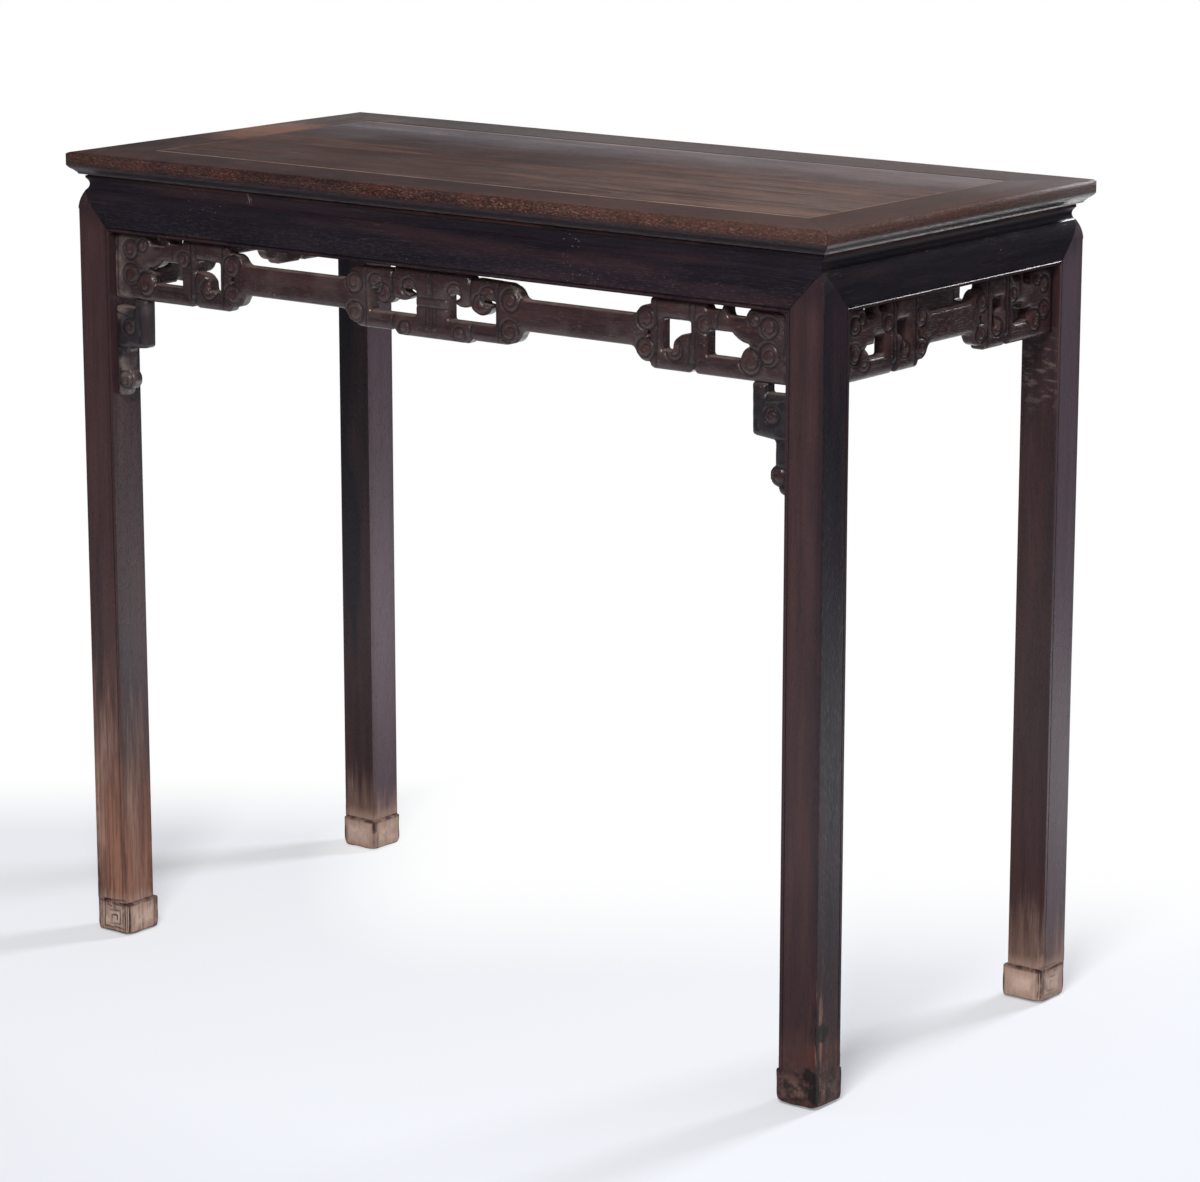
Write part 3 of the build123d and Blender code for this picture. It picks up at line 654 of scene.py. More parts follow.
def panel_finish():
    """The floating panel: warm and streaky, lighter to the right and sheened at the back, partly by
    its gloss and partly by painted sheen.
    """
    paint = colours()
    made = Finish("Panel wood", "x", paint.panel, paint.grime_and_shade, 0.42, 0.16, 0.4)
    x, y = made.x, made.y
    across = x + made.cloud(3, 3, 0.6).ramp(0.3, 0.7, -0.15, 0.15)
    # Painted sheen: darker towards the left and lighter, dusty grey, towards the right
    made.tint(across.fade(-0.45, 0.2, 0.8), paint.frame)
    made.tint(warm_patch(made) * 0.3, paint.faded)
    made.tint(across.rise(0.0, 0.45, 0.2), paint.dust_and_sheen)
    # Darker at the back towards the left
    made.tint(y.rise(-0.1, 0.12) * across.fade(-0.3, 0.2, 0.75), paint.apron)
    clouds = made.shader.streaks(made.place, (5, 9, 9), 5, 0.65)
    made.tint(clouds.rise(0.5, 0.7, 0.4), paint.frame)
    figure = made.streaks(3.5, 48, 5, 0.7)
    made.tint(figure.rise(0.5, 0.64, 0.6), paint.frame)
    made.tint(figure.fade(0.34, 0.47, 0.25), paint.faded)
    made.tint(made.streaks(8, 130, 3, 0.65).rise(0.5, 0.62, 0.5), paint.frame)
    # Painted sheen: a bluish grey haze towards the back
    made.tint(y.rise(0.0, 0.2, 0.45), paint.painted_sheen)
    gap_x, gap_y = gaps(made, PANEL_X, PANEL_Y)
    joint = gap_x.fade(1.2 * MM, 2.6 * MM).most(gap_y.fade(3.0 * MM, 5.5 * MM))
    made.tint(joint * made.cloud(16, 3).ramp(0.38, 0.62, 0.35, 0.75), paint.pale)
    made.tint(gap_x.least(gap_y).fade(0.3 * MM, 1.0 * MM, 0.6), paint.grime_and_shade)
    scratches = made.scratched(0.5)
    made.tint(scratches, paint.dust_and_sheen)
    made.roughen(scratches, 0.15)
    made.roughen(clouds.ramp(0.3, 0.7, -0.08, 0.08), 1.0)
    made.roughen(y.rise(0.0, 0.2), -0.2)
    made.sink(scratches, 0.5)
    made.polish(y.rise(0.02, 0.2) * x.ramp(-0.4, 0.1, 0.1, 1.0), 0.07, 0.6)
    return made.close(0.6, 0.2, 0.25 * MM)


def apron_finish(grain):
    """The aprons: near-black and glossy, with a brown glow and a rubbed nose at the waist."""
    paint = colours()
    made = Finish(f"Apron wood {grain}", grain, paint.apron, paint.dust_and_sheen, 0.25, 0.02, 0.8)
    shader, z = made.shader, made.z
    made.tint(made.streaks(3, 32, 4, 0.6).rise(0.46, 0.7, 0.5), paint.leg)
    drop = abs(z - APRON_LOW)
    made.tint(made.worn(drop, 5 * MM) * 0.5, paint.leg)
    nose = abs(z - (WAIST_TOP - 2.9 * MM)).fade(1.2 * MM, 1.7 * MM)
    made.tint(nose * made.cloud(11, 4, 0.6).ramp(0.4, 0.6, 0.15, 0.8), paint.frame_worn)
    specks = made.cloud(430, 1).rise(0.70, 0.76)
    made.tint(specks * made.cloud(16).rise(0.56, 0.68) * 0.6, paint.dust_and_sheen)
    near_chip = shader.distance(made.place, WAIST_CHIP).fade(3 * MM, 8 * MM)
    chipped = shader.streaks(made.place, (700, 90, 90), 2).rise(0.5, 0.6)
    made.tint(near_chip * chipped * 0.7, paint.dust_and_sheen)
    made.tint(made.scratched(0.06), paint.dust_and_sheen)
    along, reach = (made.x, LEG_X) if grain == "x" else (made.y, LEG_Y)
    made.tint(shoulder_mask(made, along, reach), paint.grime_and_shade)
    made.tint(mitre_mask(made, LEG_X, LEG_Y), paint.grime_and_shade)
    bead = abs(z - (APRON_LOW + 4 * MM)).fade(0.3 * MM, 1.1 * MM)
    made.tint(bead * 0.7, paint.grime_and_shade)
    made.sink(bead, 3.0)
    waist = z.rise(WAIST_TOP - 14 * MM, WAIST_TOP - 8 * MM)
    made.roughen(waist, 0.2)
    made.roughen(drop.fade(0.7 * MM, 1.6 * MM), 0.22)
    made.polish(waist, 0.2 if grain == "y" else 0.36, 0.14)
    made.shine = made.shine * drop.ramp(1.2 * MM, 2.6 * MM, 0.05, 1.0)
    return made.close(0.29, 0.36, 0.12 * MM if grain == "x" else 0.04 * MM)


def face_edge(finish, looks_along):
    """Distance of a point on a leg's or foot's face from the nearest and from the outer arris."""
    size = finish.z.ramp(FOOT_HEIGHT, FOOT_HEIGHT + 1 * MM, FOOT_SIZE, LEG_SIZE)
    outer = finish.shader.choose(looks_along, *gaps(finish, LEG_X, LEG_Y))
    return outer.least(size - outer), outer


# How high a leg has faded, how pale its foot is, how dark its faces that look along the
# table and across it are (partly darker wood, partly painted shade), how grey its faces that
# look along the table are with painted sheen, and how streaked and how stained it is
LegLook = namedtuple(
    "LegLook", "fade_height foot_pale dark_along dark_across grey streaked stained"
)
LEG_LOOKS = {
    "front_left": LegLook(0.32, 0.95, 0.3, 0.0, 0.06, 0.9, 0.2),
    "front_right": LegLook(0.08, 0.1, 0.85, 0.4, 0.0, 0.8, 1.0),
    "back_left": LegLook(0.10, 0.95, 0.0, 0.9, 0.45, 0.3, 0.2),
    "back_right": LegLook(0.12, 0.9, 0.0, 0.3, 0.5, 0.3, 0.1),
}
# Charred spots of the near leg: place and radius
LEG_STAINS = {
    "front_right": (
        ((0.444, -0.234, 0.017), 0.013),
        ((0.466, -0.232, 0.036), 0.014),
        ((0.470, -0.222, 0.016), 0.013),
        ((0.470, -0.213, 0.075), 0.009),
    ),
}


def leg_finish(corner):
    """A leg: reddish brown, streaked, and faded and dusty towards its foot."""
    paint = colours()
    look = LEG_LOOKS[corner]
    sign_x, sign_y = LEGS[corner]
    made = Finish(f"Leg wood {corner}", "z", paint.leg, paint.grime_and_shade, 0.2, 0.12, sign_x + 2 * sign_y)
    shader, z = made.shader, made.z
    facing_x = abs(shader.parts(shader.read("ShaderNodeTexCoord", "Normal"))[0])
    looks_along = facing_x.rise(0.35, 0.65)
    gap, outer_gap = face_edge(made, looks_along)

    # the dark wood, with painted shade and a painted sheen by which way each face looks
    warm = made.streaks(4, 50, 4, 0.6)
    made.tint(warm.rise(0.5, 0.75, 0.5), paint.frame_worn)
    made.tint(warm.fade(0.28, 0.45, 0.4), paint.apron)
    cloud = made.streaks(3, 25, 3, 0.6)
    # Faces darker by which way they look: partly darker wood, partly painted shade
    dark = facing_x.ramp(0.35, 0.65, look.dark_across, look.dark_along)
    dark = dark * cloud.ramp(0.32, 0.62, 1.5, 0.4)
    dark = shader.math("MULTIPLY", dark, z.ramp(0.05, 0.35, 0.45, 1.0), clamp=True)
    made.tint(dark, paint.apron)
    # Painted shade: the faces that look along the table made darker and cooler, then greyed by a
    # painted sheen
    made.tint(looks_along * 0.35, COOL, "MULTIPLY")
    made.tint(looks_along * look.grey, paint.painted_sheen)
    shoulder = z.rise(APRON_LOW - 8 * MM, APRON_LOW + 24 * MM, 0.6)
    made.tint(shoulder * cloud.rise(0.35, 0.6), paint.apron)
    made.tint(made.worn(gap, 3 * MM) * 0.3, paint.frame_worn)
    made.tint(gap.fade(1 * MM, 11 * MM, 0.15 + 0.3 * look.stained), paint.apron)

    # where it has faded, with streaks of wood that hasn't
    ragged = (made.streaks(9, 160, 4, 0.65) - 0.5) * (1.1 * look.fade_height)
    height = z + ragged + looks_along * (0.15 * look.fade_height)
    faded = height.fade(0.02, look.fade_height, look.foot_pale)
    made.tint(faded, paint.faded if corner == "front_left" else paint.scuffed)
    golden = made.streaks(6, 38, 3, 0.6, shift=9).rise(0.46, 0.64, 0.7)
    made.tint(golden * faded, paint.pale)
    made.tint(z.fade(0.028, 0.05, look.foot_pale), paint.pale)
    lines = made.streaks(16, 480, 3, 0.7).rise(0.44, 0.64, 0.65) * faded
    made.tint(lines * look.streaked, paint.leg)
    broad = made.streaks(7, 75, 4, 0.6, shift=5).rise(0.54, 0.66, 0.75) * look.streaked
    made.tint(broad * faded, paint.leg)

    # arrises, scuffs and rot
    torn = made.cloud(60, 4, 0.65)
    arris = shader.choose(looks_along, outer_gap, LEG_SIZE - outer_gap).fade(1 * MM, 8 * MM)
    arris = arris.most(gap.fade(0.8 * MM, 2.0 * MM, 0.4))
    made.tint(arris * torn.ramp(0.35, 0.6, 0.1, 0.85) * faded, paint.leg)
    if corner == "back_right":
        scuffs = shader.streaks(made.place, (70, 70, 190), 5, 0.7).rise(0.5, 0.64, 0.32)
        band = z.rise(0.6, 0.64) * z.fade(0.66, 0.72)
        made.tint(scuffs * band * (1.0 - looks_along), paint.dust_and_sheen)
    if look.stained > 0.5:
        rot = made.streaks(22, 150, 5, 0.7, shift=2)
        low_leg = z.fade(0.06, 0.16) * outer_gap.ramp(6 * MM, 20 * MM, 1.0, 0.15)
        made.tint(z.fade(0.03, 0.09, 0.55), paint.frame_worn)
        raw = rot.rise(0.5, 0.62, 0.8) * low_leg
        made.tint(raw, paint.frame_worn)
        made.tint(raw * looks_along, paint.faded)
        made.tint(rot.fade(0.38, 0.48, 0.85) * low_leg, paint.grime_and_shade)

    # the foot: rubbed bare in the middle of its faces, dark round their borders
    foot = z.fade(FOOT_HEIGHT, FOOT_HEIGHT + 1 * MM)
    foot_gap = gap.least(z.least(FOOT_HEIGHT - z))
    rub = foot_gap.rise(4 * MM, 15 * MM) * torn.ramp(0.3, 0.6, 0.2, 0.8)
    made.tint(rub * (foot * look.foot_pale), paint.chalk)
    border = foot_gap.fade(1.2 * MM, 4.5 * MM, 0.95) * torn.ramp(0.35, 0.6, 0.35, 1.0)
    made.tint(shader.math("MULTIPLY", border, foot, clamp=True), paint.leg)
    stains = made.cloud(80, 6, 0.75).rise(0.4, 0.62)
    made.tint(stains * z.fade(0.02, 0.06, 0.8 * look.stained), paint.grime_and_shade)
    frayed = torn.ramp(0.3, 0.7, -5 * MM, 5 * MM)
    for place, radius in LEG_STAINS.get(corner, ()):
        off = shader.distance(made.place, place) + frayed
        made.tint(off.fade(0.5 * radius, 1.1 * radius, 0.85), paint.grime_and_shade)
    made.tint(shader.math("MULTIPLY", made.attribute("hollow"), 0.9, clamp=True), paint.grime_and_shade)
    made.tint(z.fade(0.5 * MM, 3.5 * MM, 0.9), paint.grime_and_shade)
    made.tint(shoulder_mask(made, made.x, LEG_X) * (1.0 - looks_along), paint.grime_and_shade)
    made.tint(shoulder_mask(made, made.y, LEG_Y) * looks_along, paint.grime_and_shade)
    made.roughen(faded, 0.25)
    made.sink(lines, 0.5)
    made.polish(z.rise(0.02, 0.4), 0.12, 0.34)
    return made.close(0.34, 0.34, 0.2 * MM)


def carved_finish(name, grain, wood, gloss):
    """The carving: glossy on its rubbed faces, which are painted lighter as rubbed wood and as a
    highlight, black in its grooves as painted shade, dusty on its ledges.
    """
    paint = colours()
    made = Finish(name, grain, wood, paint.grime_and_shade, 0.2, 0.08, 1.6)
    dusty, hollow, rubbed = (made.attribute(layer) for layer in ("dust_and_sheen", "hollow", "rubbed"))
    made.tint(made.streaks(6, 60, 4, 0.6).rise(0.5, 0.75, 0.4), paint.frame_worn)
    # Rubbed wood on the raised parts, painted lighter also as a highlight
    made.tint(rubbed * 0.3, paint.frame_worn)
    cloud = made.cloud(70, 4, 0.65)
    ragged = cloud.ramp(0.25, 0.75, 0.4, 1.25)
    made.tint(made.shader.math("MULTIPLY", dusty, ragged, clamp=True), paint.dust_and_sheen)
    left_end = made.x.fade(-0.425, -0.37, 0.65)
    made.tint(made.cloud(26, 4, 0.6).rise(0.42, 0.72) * (left_end + 0.12), paint.dust_and_sheen)
    # Painted shade: the grooves black
    made.tint(hollow * 0.85, paint.grime_and_shade)
    made.tint(hollow * cloud.rise(0.55, 0.75, 0.3), paint.dust_and_sheen)
    made.roughen(dusty, 0.35)
    made.roughen(hollow, 0.2)
    made.sink(cloud, 0.6)
    return made.close(0.3, gloss, 0.2 * MM)


def plain_finish(name, grain, wood):
    """Planed wood that has never been lacquered."""
    paint = colours()
    made = Finish(name, grain, wood, paint.apron, 0.25, 0.3, 2.2)
    made.tint(made.cloud(12, 4, 0.6).rise(0.45, 0.7, 0.4), paint.dust_and_sheen)
    return made.close(0.72, 0.2, 0.3 * MM)


# ---- the top --------------------------------------------------------------------------------
RAIL_AXES = {"front": 0, "back": 0, "left": 1, "right": 1}
EDGE_CUTS = (0.5, 1.2, 2.2, 3.5, 5, 9, 63)    # mm in from the edge, where the mesh gets points
EDGE_REACH = 8 * MM                           # how far in the edge is worn
FACET = 4 * MM                                # length of the facets along the edge
PANEL_FACET = 10 * MM
PANEL_HOLLOW = 0.25 * MM                      # how deep the panel's face dips, on average


def rounded_in(over_a, over_b, radius):
    """How far two coordinates move in so that a square corner becomes round.

    The first two say how far a point lies past the centre of the rounding.
    """
    past = math.hypot(max(0.0, over_a), max(0.0, over_b))
    if past <= radius:
        return 0.0, 0.0
    share = 1 - radius / past
    return max(0.0, over_a) * share, max(0.0, over_b) * share


def dress_rail(side, finish):
    """One member of the top's frame, its edge worn round and its arrises dented by use."""
    sizes = table_sizes()
    edge_round = sizes.edge_round
    axis = RAIL_AXES[side]
    across = 1 - axis
    node = f"top_rail_{side}"
    bm = solid_copy(node)
    long_edges = [edge for edge in bm.edges if is_sharp(edge) and runs_along(edge, axis, 100 * MM)]
    round_edges(bm, long_edges, 0.5 * sizes.arris)
    low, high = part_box(node)
    outer = SIDES[side].outward[across]
    edge_place = outer * (TOP_Y if across == 1 else TOP_X)
    insets = [inset * MM for inset in EDGE_CUTS]
    slice_across(bm, across, [edge_place - outer * inset for inset in insets])
    slice_across(bm, 2, [TOP_Z - inset for inset in insets[1:6]])
    slice_across(bm, axis, steps(low[axis], high[axis], FACET))
    reach = (TOP_X, TOP_Y)
    for vert in bm.verts:
        inset = [reach[0] - abs(vert.co.x), reach[1] - abs(vert.co.y)]
        past = inset[across]
        if past > EDGE_REACH:
            continue
        drop = TOP_Z - vert.co.z
        on_mitre = abs(inset[0] - inset[1]) < 0.05 * MM
        arris = math.exp(-((past / (3 * MM)) ** 2 + (drop / (4 * MM)) ** 2))
        dent = max(0.0, mottle(vert.co, 9 * MM, 4) - 0.25) * 1.6
        dent += 0.25 * mottle(vert.co, 60 * MM, 9) ** 2
        wave = 0.25 * MM * (0.5 + 0.5 * mottle(vert.co, 120 * MM, 2))
        radius = edge_round * (1 + 0.25 * mottle(vert.co, 90 * MM, 7))
        inward, down = rounded_in(radius - past, radius - drop, radius)
        inward += arris * dent * sizes.dent + wave
        down += arris * dent * 0.7 * sizes.dent
        corner = rounded_in(edge_round - inset[0], edge_round - inset[1], edge_round)
        vert.co[across] -= outer * max(inward, corner[across])
        shorter = max(inward, corner[axis]) if on_mitre else corner[axis]
        vert.co[axis] -= math.copysign(shorter, vert.co[axis])
        vert.co.z -= down
    make_worn(bm, node, finish)


def dress_panel(finish):
    """The floating panel, its face a little uneven from the plane and from use."""
    bm = solid_copy("top_panel")
    edges = [edge for edge in bm.edges if is_sharp(edge) and edge.calc_length() > 100 * MM]
    round_edges(bm, edges, 0.3 * MM)
    for axis, reach in enumerate((PANEL_X, PANEL_Y)):
        slice_across(bm, axis, steps(-reach, reach, PANEL_FACET))
    face_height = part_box("top_panel")[1].z
    for vert in bm.verts:
        if vert.co.z > face_height - 0.2 * MM:
            inside = min(PANEL_X - abs(vert.co.x), PANEL_Y - abs(vert.co.y))
            share = min(1.0, max(0.0, inside / (20 * MM)))
            vert.co.z -= share * PANEL_HOLLOW * (1 + mottle(vert.co, 70 * MM, 5))
    make_worn(bm, "top_panel", finish)


# ---- aprons ---------------------------------------------------------------------------------
def dress_apron(side, finish):
    """One apron with its waist, hand planed and rubbed along its lower edge."""
    sizes = table_sizes()
    axis = RAIL_AXES[side]
    across = 1 - axis
    node = f"apron_{side}"
    bm = solid_copy(node)
    low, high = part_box(node)
    long_edges = [
        edge
        for edge in bm.edges
        if is_sharp(edge)
        and runs_along(edge, axis, 100 * MM)
        and edge.verts[0].co.z < APRON_LOW + 1 * MM
    ]
    round_edges(bm, long_edges, 0.6 * sizes.arris)
    slice_across(bm, 2, [APRON_LOW + height for height in (2.5 * MM, 12 * MM, 20 * MM)])
    slice_across(bm, axis, steps(low[axis], high[axis], 5 * MM))
    outer = SIDES[side].outward[across]
    for vert in bm.verts:
        out = abs(vert.co[across]) - (SIDES[side].depth - 9 * MM)
        if out < 0:
            continue
        wave = 0.3 * MM * (0.5 + 0.5 * mottle(vert.co, 90 * MM, 6))
        arris = math.exp(-((vert.co.z - APRON_LOW) / (3 * MM)) ** 2)
        nick = max(0.0, mottle(vert.co, 8 * MM, 11) - 0.3) * arris
        vert.co[across] -= outer * (wave + 0.8 * nick * sizes.dent)
        vert.co.z += nick * 0.6 * sizes.dent
        off = (vert.co - Vector(WAIST_CHIP)).length
        vert.co[across] -= outer * 0.9 * MM * math.exp(-((off / (4 * MM)) ** 2))
    make_worn(bm, node, finish)


# ---- legs -----------------------------------------------------------------------------------
FINE_HEIGHT = 48 * MM             # up to here a leg's mesh is fine enough for the fret
FOOT_FACET = 0.9 * MM
# How much of each foot's fret is left, and how round its corners have become
FRET_LEFT = {"front_left": 0.9, "front_right": 0.15, "back_left": 0.05, "back_right": 0.35}
FOOT_WORN = {"front_left": 1.0, "front_right": 1.4, "back_left": 1.1, "back_right": 1.1}


def fret_lines():
    """Incised lines of a foot's panel: (from, height, to, height), from the outer arris, in mm."""
    border = [(10, 5, 10, 36), (10, 36, 40, 38), (40, 38, 40, 5)]
    upper = [(14, 30, 20, 29), (22, 33, 35, 31.5), (37, 29, 39, 33)]
    spiral = [(18, 24, 33, 26), (33, 26, 33, 11), (33, 11, 20, 10), (20, 10, 20, 19)]
    eye = [(20, 19, 28, 20), (28, 20, 28, 15)]
    lower = [(12, 6, 22, 5), (25, 7, 38, 6), (36, 12, 37, 24)]
    return border + upper + spiral + eye + lower


def segment_distance(along, height, line):
    """Distances of many points from one straight line between two points."""
    start_u, start_z, end_u, end_z = line
    way_u, way_z = end_u - start_u, end_z - start_z
    share = ((along - start_u) * way_u + (height - start_z) * way_z) / (way_u**2 + way_z**2)
    share = np.clip(share, 0, 1)
    return np.hypot(along - start_u - share * way_u, height - start_z - share * way_z)


def dress_leg(corner, finish):
    """One leg: rounded arrises, a beaded inner edge and a worn hoof with its incised fret."""
    sign_x, sign_y = LEGS[corner]
    faces = ((0, sign_x, LEG_X), (1, sign_y, LEG_Y))
    node = f"leg_{corner}"
    bm = solid_copy(node)
    uprights = [edge for edge in bm.edges if is_sharp(edge) and runs_along(edge, 2, 20 * MM)]
    outer = [
        edge
        for edge in uprights
        if abs(edge.verts[0].co.x) > LEG_X - 1 * MM and abs(edge.verts[0].co.y) > LEG_Y - 1 * MM
    ]
    round_edges(bm, outer, 1.6 * table_sizes().arris, 3)
    slice_across(bm, 2, [FINE_HEIGHT] + steps(FINE_HEIGHT, APRON_LOW, 6 * MM))
    for axis, sign, reach in faces:
        slice_across(bm, axis, [sign * (reach - inset * MM) for inset in (4, 21, 35)])

    below = FINE_HEIGHT + 0.01 * MM
    foot = [face for face in bm.faces if max(vert.co.z for vert in face.verts) < below]
    edges = {edge for face in foot for edge in face.edges}
    verts = {vert for face in foot for vert in face.verts}
    geometry = foot + list(edges) + list(verts)
    geometry = slice_across(bm, 2, steps(0, FINE_HEIGHT, FOOT_FACET), geometry)
    for axis, sign, reach in faces:
        start, end = sorted((sign * reach, sign * (reach - FOOT_SIZE)))
        geometry = slice_across(bm, axis, steps(start, end, FOOT_FACET), geometry)
    wear_foot(bm, corner)
    for vert in bm.verts:
        if vert.co.z < FINE_HEIGHT or vert.co.z > APRON_LOW:
            continue
        bow = 0.3 * MM * (0.5 + 0.5 * mottle(vert.co, 160 * MM, 12))
        for axis, sign, reach in faces:
            if abs(sign * vert.co[axis] - reach) < 0.6 * MM:
                vert.co[axis] -= sign * bow
    make_worn(bm, node, finish, 40)


def wear_foot(bm, corner):
    """Rounds the hoof's corners and sinks its fret lines, which it also marks as hollow."""
    sizes = table_sizes()
    sign_x, sign_y = LEGS[corner]
    centre_x = sign_x * (LEG_X - FOOT_SIZE / 2)
    centre_y = sign_y * (LEG_Y - FOOT_SIZE / 2)
    seed = 3 * sign_x + 5 * sign_y
    lines = fret_lines()
    hollow = bm.verts.layers.float.new("hollow")
    bm.normal_update()
    feet = [vert for vert in bm.verts if vert.co.z < FINE_HEIGHT - 0.1 * MM]
    lowered = {}
    for vert in feet:
        out_x = sign_x * vert.co.x - (LEG_X - 0.2 * MM)
        out_y = sign_y * vert.co.y - (LEG_Y - 0.2 * MM)
        if max(out_x, out_y) < 0:
            continue
        axis, other = (0, 1) if out_x > out_y else (1, 0)
        reach = (LEG_X, LEG_Y)[other]
        inset = (reach - (sign_x, sign_y)[other] * vert.co[other]) / MM
        height = vert.co.z / MM
        drift = 1.2 * mottle(vert.co, 16 * MM, seed + 5)
        near = min(segment_distance(inset + drift, height + drift, line) for line in lines)
        worn = max(0.0, FRET_LEFT[corner] + 0.6 * mottle(vert.co, 10 * MM, seed))
        share = worn * math.exp(-((near / 0.85) ** 2))
        lowered[vert] = (axis, -(sign_x, sign_y)[axis] * share * sizes.fret)
        vert[hollow] = share
    radius = sizes.foot_arris * FOOT_WORN[corner]
    half = FOOT_SIZE / 2
    for vert in feet:
        off_x = vert.co.x - centre_x
        off_y = vert.co.y - centre_y
        rough = 1 + 0.45 * mottle(vert.co, 14 * MM, seed + 2)
        low = max(0.0, 1 - vert.co.z / (10 * MM)) ** 2
        corner_radius = radius * rough * (0.7 + 1.7 * low)
        over_x = max(0.0, abs(off_x) - (half - corner_radius))
        over_y = max(0.0, abs(off_y) - (half - corner_radius))
        above = vert.co.z - (FOOT_HEIGHT - 0.1 * MM - corner_radius)
        over_z = max(0.0, corner_radius - 2 * vert.co.z, above)
        inner = max(-sign_x * off_x, -sign_y * off_y) > half - 4.2 * MM
        if vert.co.z > 20 * MM and not inner:
            over_z = 0.0
        over = Vector((over_x, over_y, over_z))
        if over.length > corner_radius > 0 and vert.co.z < FOOT_HEIGHT + 1 * MM:
            pull = over * (1 - corner_radius / over.length)
            vert.co.x -= math.copysign(pull.x, off_x)
            vert.co.y -= math.copysign(pull.y, off_y)
            vert.co.z += 0.5 * pull.z if vert.co.z < 20 * MM else -pull.z
    for vert, (axis, depth) in lowered.items():
        vert.co[axis] += depth


# ---- carving --------------------------------------------------------------------------------
GROOVE_UNIT = 1.8 * MM            # the grooves' depths below are right at this groove size
# Features are placed in mm on one half of a side: u from its middle, z as height.
FRET_SCROLLS = [          # u, z, radius, turns, hand
    (263, 738, 11, 1.8, 1),
    (262, 709, 11, 1.8, -1),
    (295, 711.5, 10.5, 1.5, 1),
    (330, 739, 8.5, 1.3, -1),
    (383, 709.5, 12.5, 1.4, 1),
    (404, 743.5, 10, 1.6, 1),
    (387, 748.5, 6.5, 1.2, -1),
    (404, 717.5, 11.5, 1.8, -1),
]
FRET_GROOVES = [          # u, z, u, z, depth, half width
    (313, 757, 313, 700, 1.2, 1.1),
    (319.5, 757, 319.5, 700, 1.2, 1.1),
    (316, 700, 316, 688, 2.0, 2.4),
    (422, 694, 422, 757, 1.0, 1.0),
    (345, 749, 345, 738, 1.0, 1.2),
    (364, 747, 372, 747, 0.9, 1.2),
    (275, 756, 275, 694, 1.1, 1.1),
    (326, 704, 366, 704, 0.8, 1.1),
]
CENTRE_SCROLLS = [
    (99, 738.5, 11, 1.8, 1),
    (98, 708.5, 11, 1.8, -1),
    (63, 731, 10.5, 1.3, -1),
    (71, 740, 9.5, 1.2, 1),
    (29, 739.5, 9, 1.2, 1),
    (35, 699, 7.5, 1.4, 1),
]
CENTRE_GROOVES = [
    (49.5, 757, 49.5, 729, 1.6, 1.4),
    (49.5, 709, 49.5, 690, 1.4, 1.6),
    (1.5, 757, 1.5, 732, 1.1, 1.1),
    (2, 721, 2, 706, 0.9, 0.9),
    (6.5, 721, 6.5, 706, 0.9, 0.9),
    (-4, 722, 21, 722, 1.1, 1.0),
    (-4, 731, 21, 731, 1.1, 1.0),
    (84, 754, 84, 697, 1.1, 1.1),
    (55, 704, 80, 704, 0.7, 1.0),
]
CENTRE_KNOBS = [(5, 702.5, 2.6)]
SPANDREL_SCROLLS = [
    (416, 605.5, 9, 1.1, 1),
    (408, 662, 8.5, 1.4, -1),
]
SPANDREL_GROOVES = [
    (401, 689, 401, 672, 0.9, 1.1),
    (401, 672, 426, 676, 1.1, 1.1),
    (393, 684, 393, 648, 0.8, 1.6),
    (408, 640, 427, 640, 1.1, 1.2),
    (422, 616, 427, 594, 0.8, 1.2),
]
# Where the fret blocks of the short sides have more wood round their openings: u, z, u, z
SHORT_FILLS = [
    (66, 712, 74, 741),
    (91, 722, 97, 741),
    (108, 729, 151, 737),
    (129, 722, 151, 731),
]
LONG_PLACES = (262, 316, 428)     # a fret block's eye, groove and end on the long sides
SHORT_PLACES = (52, 97.5, 182)    # the same on the short sides
SHORT_SHARE = 0.86                # how large the scrolls are there


def to_short(place):
    """Moves a place in a long side's fret block to the narrower block of a short side."""
    eye, groove, end = LONG_PLACES
    short_eye, short_groove, short_end = SHORT_PLACES
    if place < groove:
        return short_eye + (place - eye) * (short_groove - short_eye) / (groove - eye)
    return short_groove + (place - groove) * (short_end - short_groove) / (end - groove)


def scroll_height(along, height, scroll):
    """A rolled scroll: a domed disc with a spiral groove, a sunken rim and a raised eye.

    Gives its relief in mm, how deeply each point lies in a groove, and where the disc is.
    """
    place_u, place_z, radius, turns, hand = scroll
    off_u, off_z = along - place_u, height - place_z
    far = np.hypot(off_u, off_z)
    angle = np.arctan2(off_z, off_u) * hand
    pitch = radius / turns
    phase = far / pitch - angle / (2 * math.pi)
    off_line = (phase - np.round(phase)) * pitch
    disc = 1 / (1 + np.exp(np.clip((far - radius) / 0.5, -40, 40)))
    eye = np.exp(-((far / (0.3 * radius)) ** 2))
    spiral = np.exp(-((off_line / 1.1) ** 2)) * disc * (1 - eye)
    rim = np.exp(-(((far - radius) / 1.0) ** 2))
    dome = np.clip(1 - (far / radius) ** 2, 0, 1)
    return 0.7 * dome + 0.6 * eye, np.maximum(0.8 * spiral, rim), disc


def rim_distance(along, height, depth, facing):
    """How far each point of the outer face lies from the nearest outline or opening, in mm.

    The walls of the outlines and openings get 0.
    """
    count = len(along)
    rim = KDTree(count)
    for index in np.nonzero((facing < 0.6) & (facing > -0.5) & (depth < 4 * MM))[0]:
        rim.insert((along[index], height[index], 0), int(index))
    rim.balance()
    distance = np.zeros(count)
    for index in np.nonzero((facing > 0.75) & (depth < 1.5 * MM))[0]:
        distance[index] = rim.find((along[index], height[index], 0))[2]
    return distance


def vectors_of(elements, key):
    """One vector of each element, as the rows of an array."""
    values = np.empty(len(elements) * 3)
    elements.foreach_get(key, values)
    return values.reshape(-1, 3)


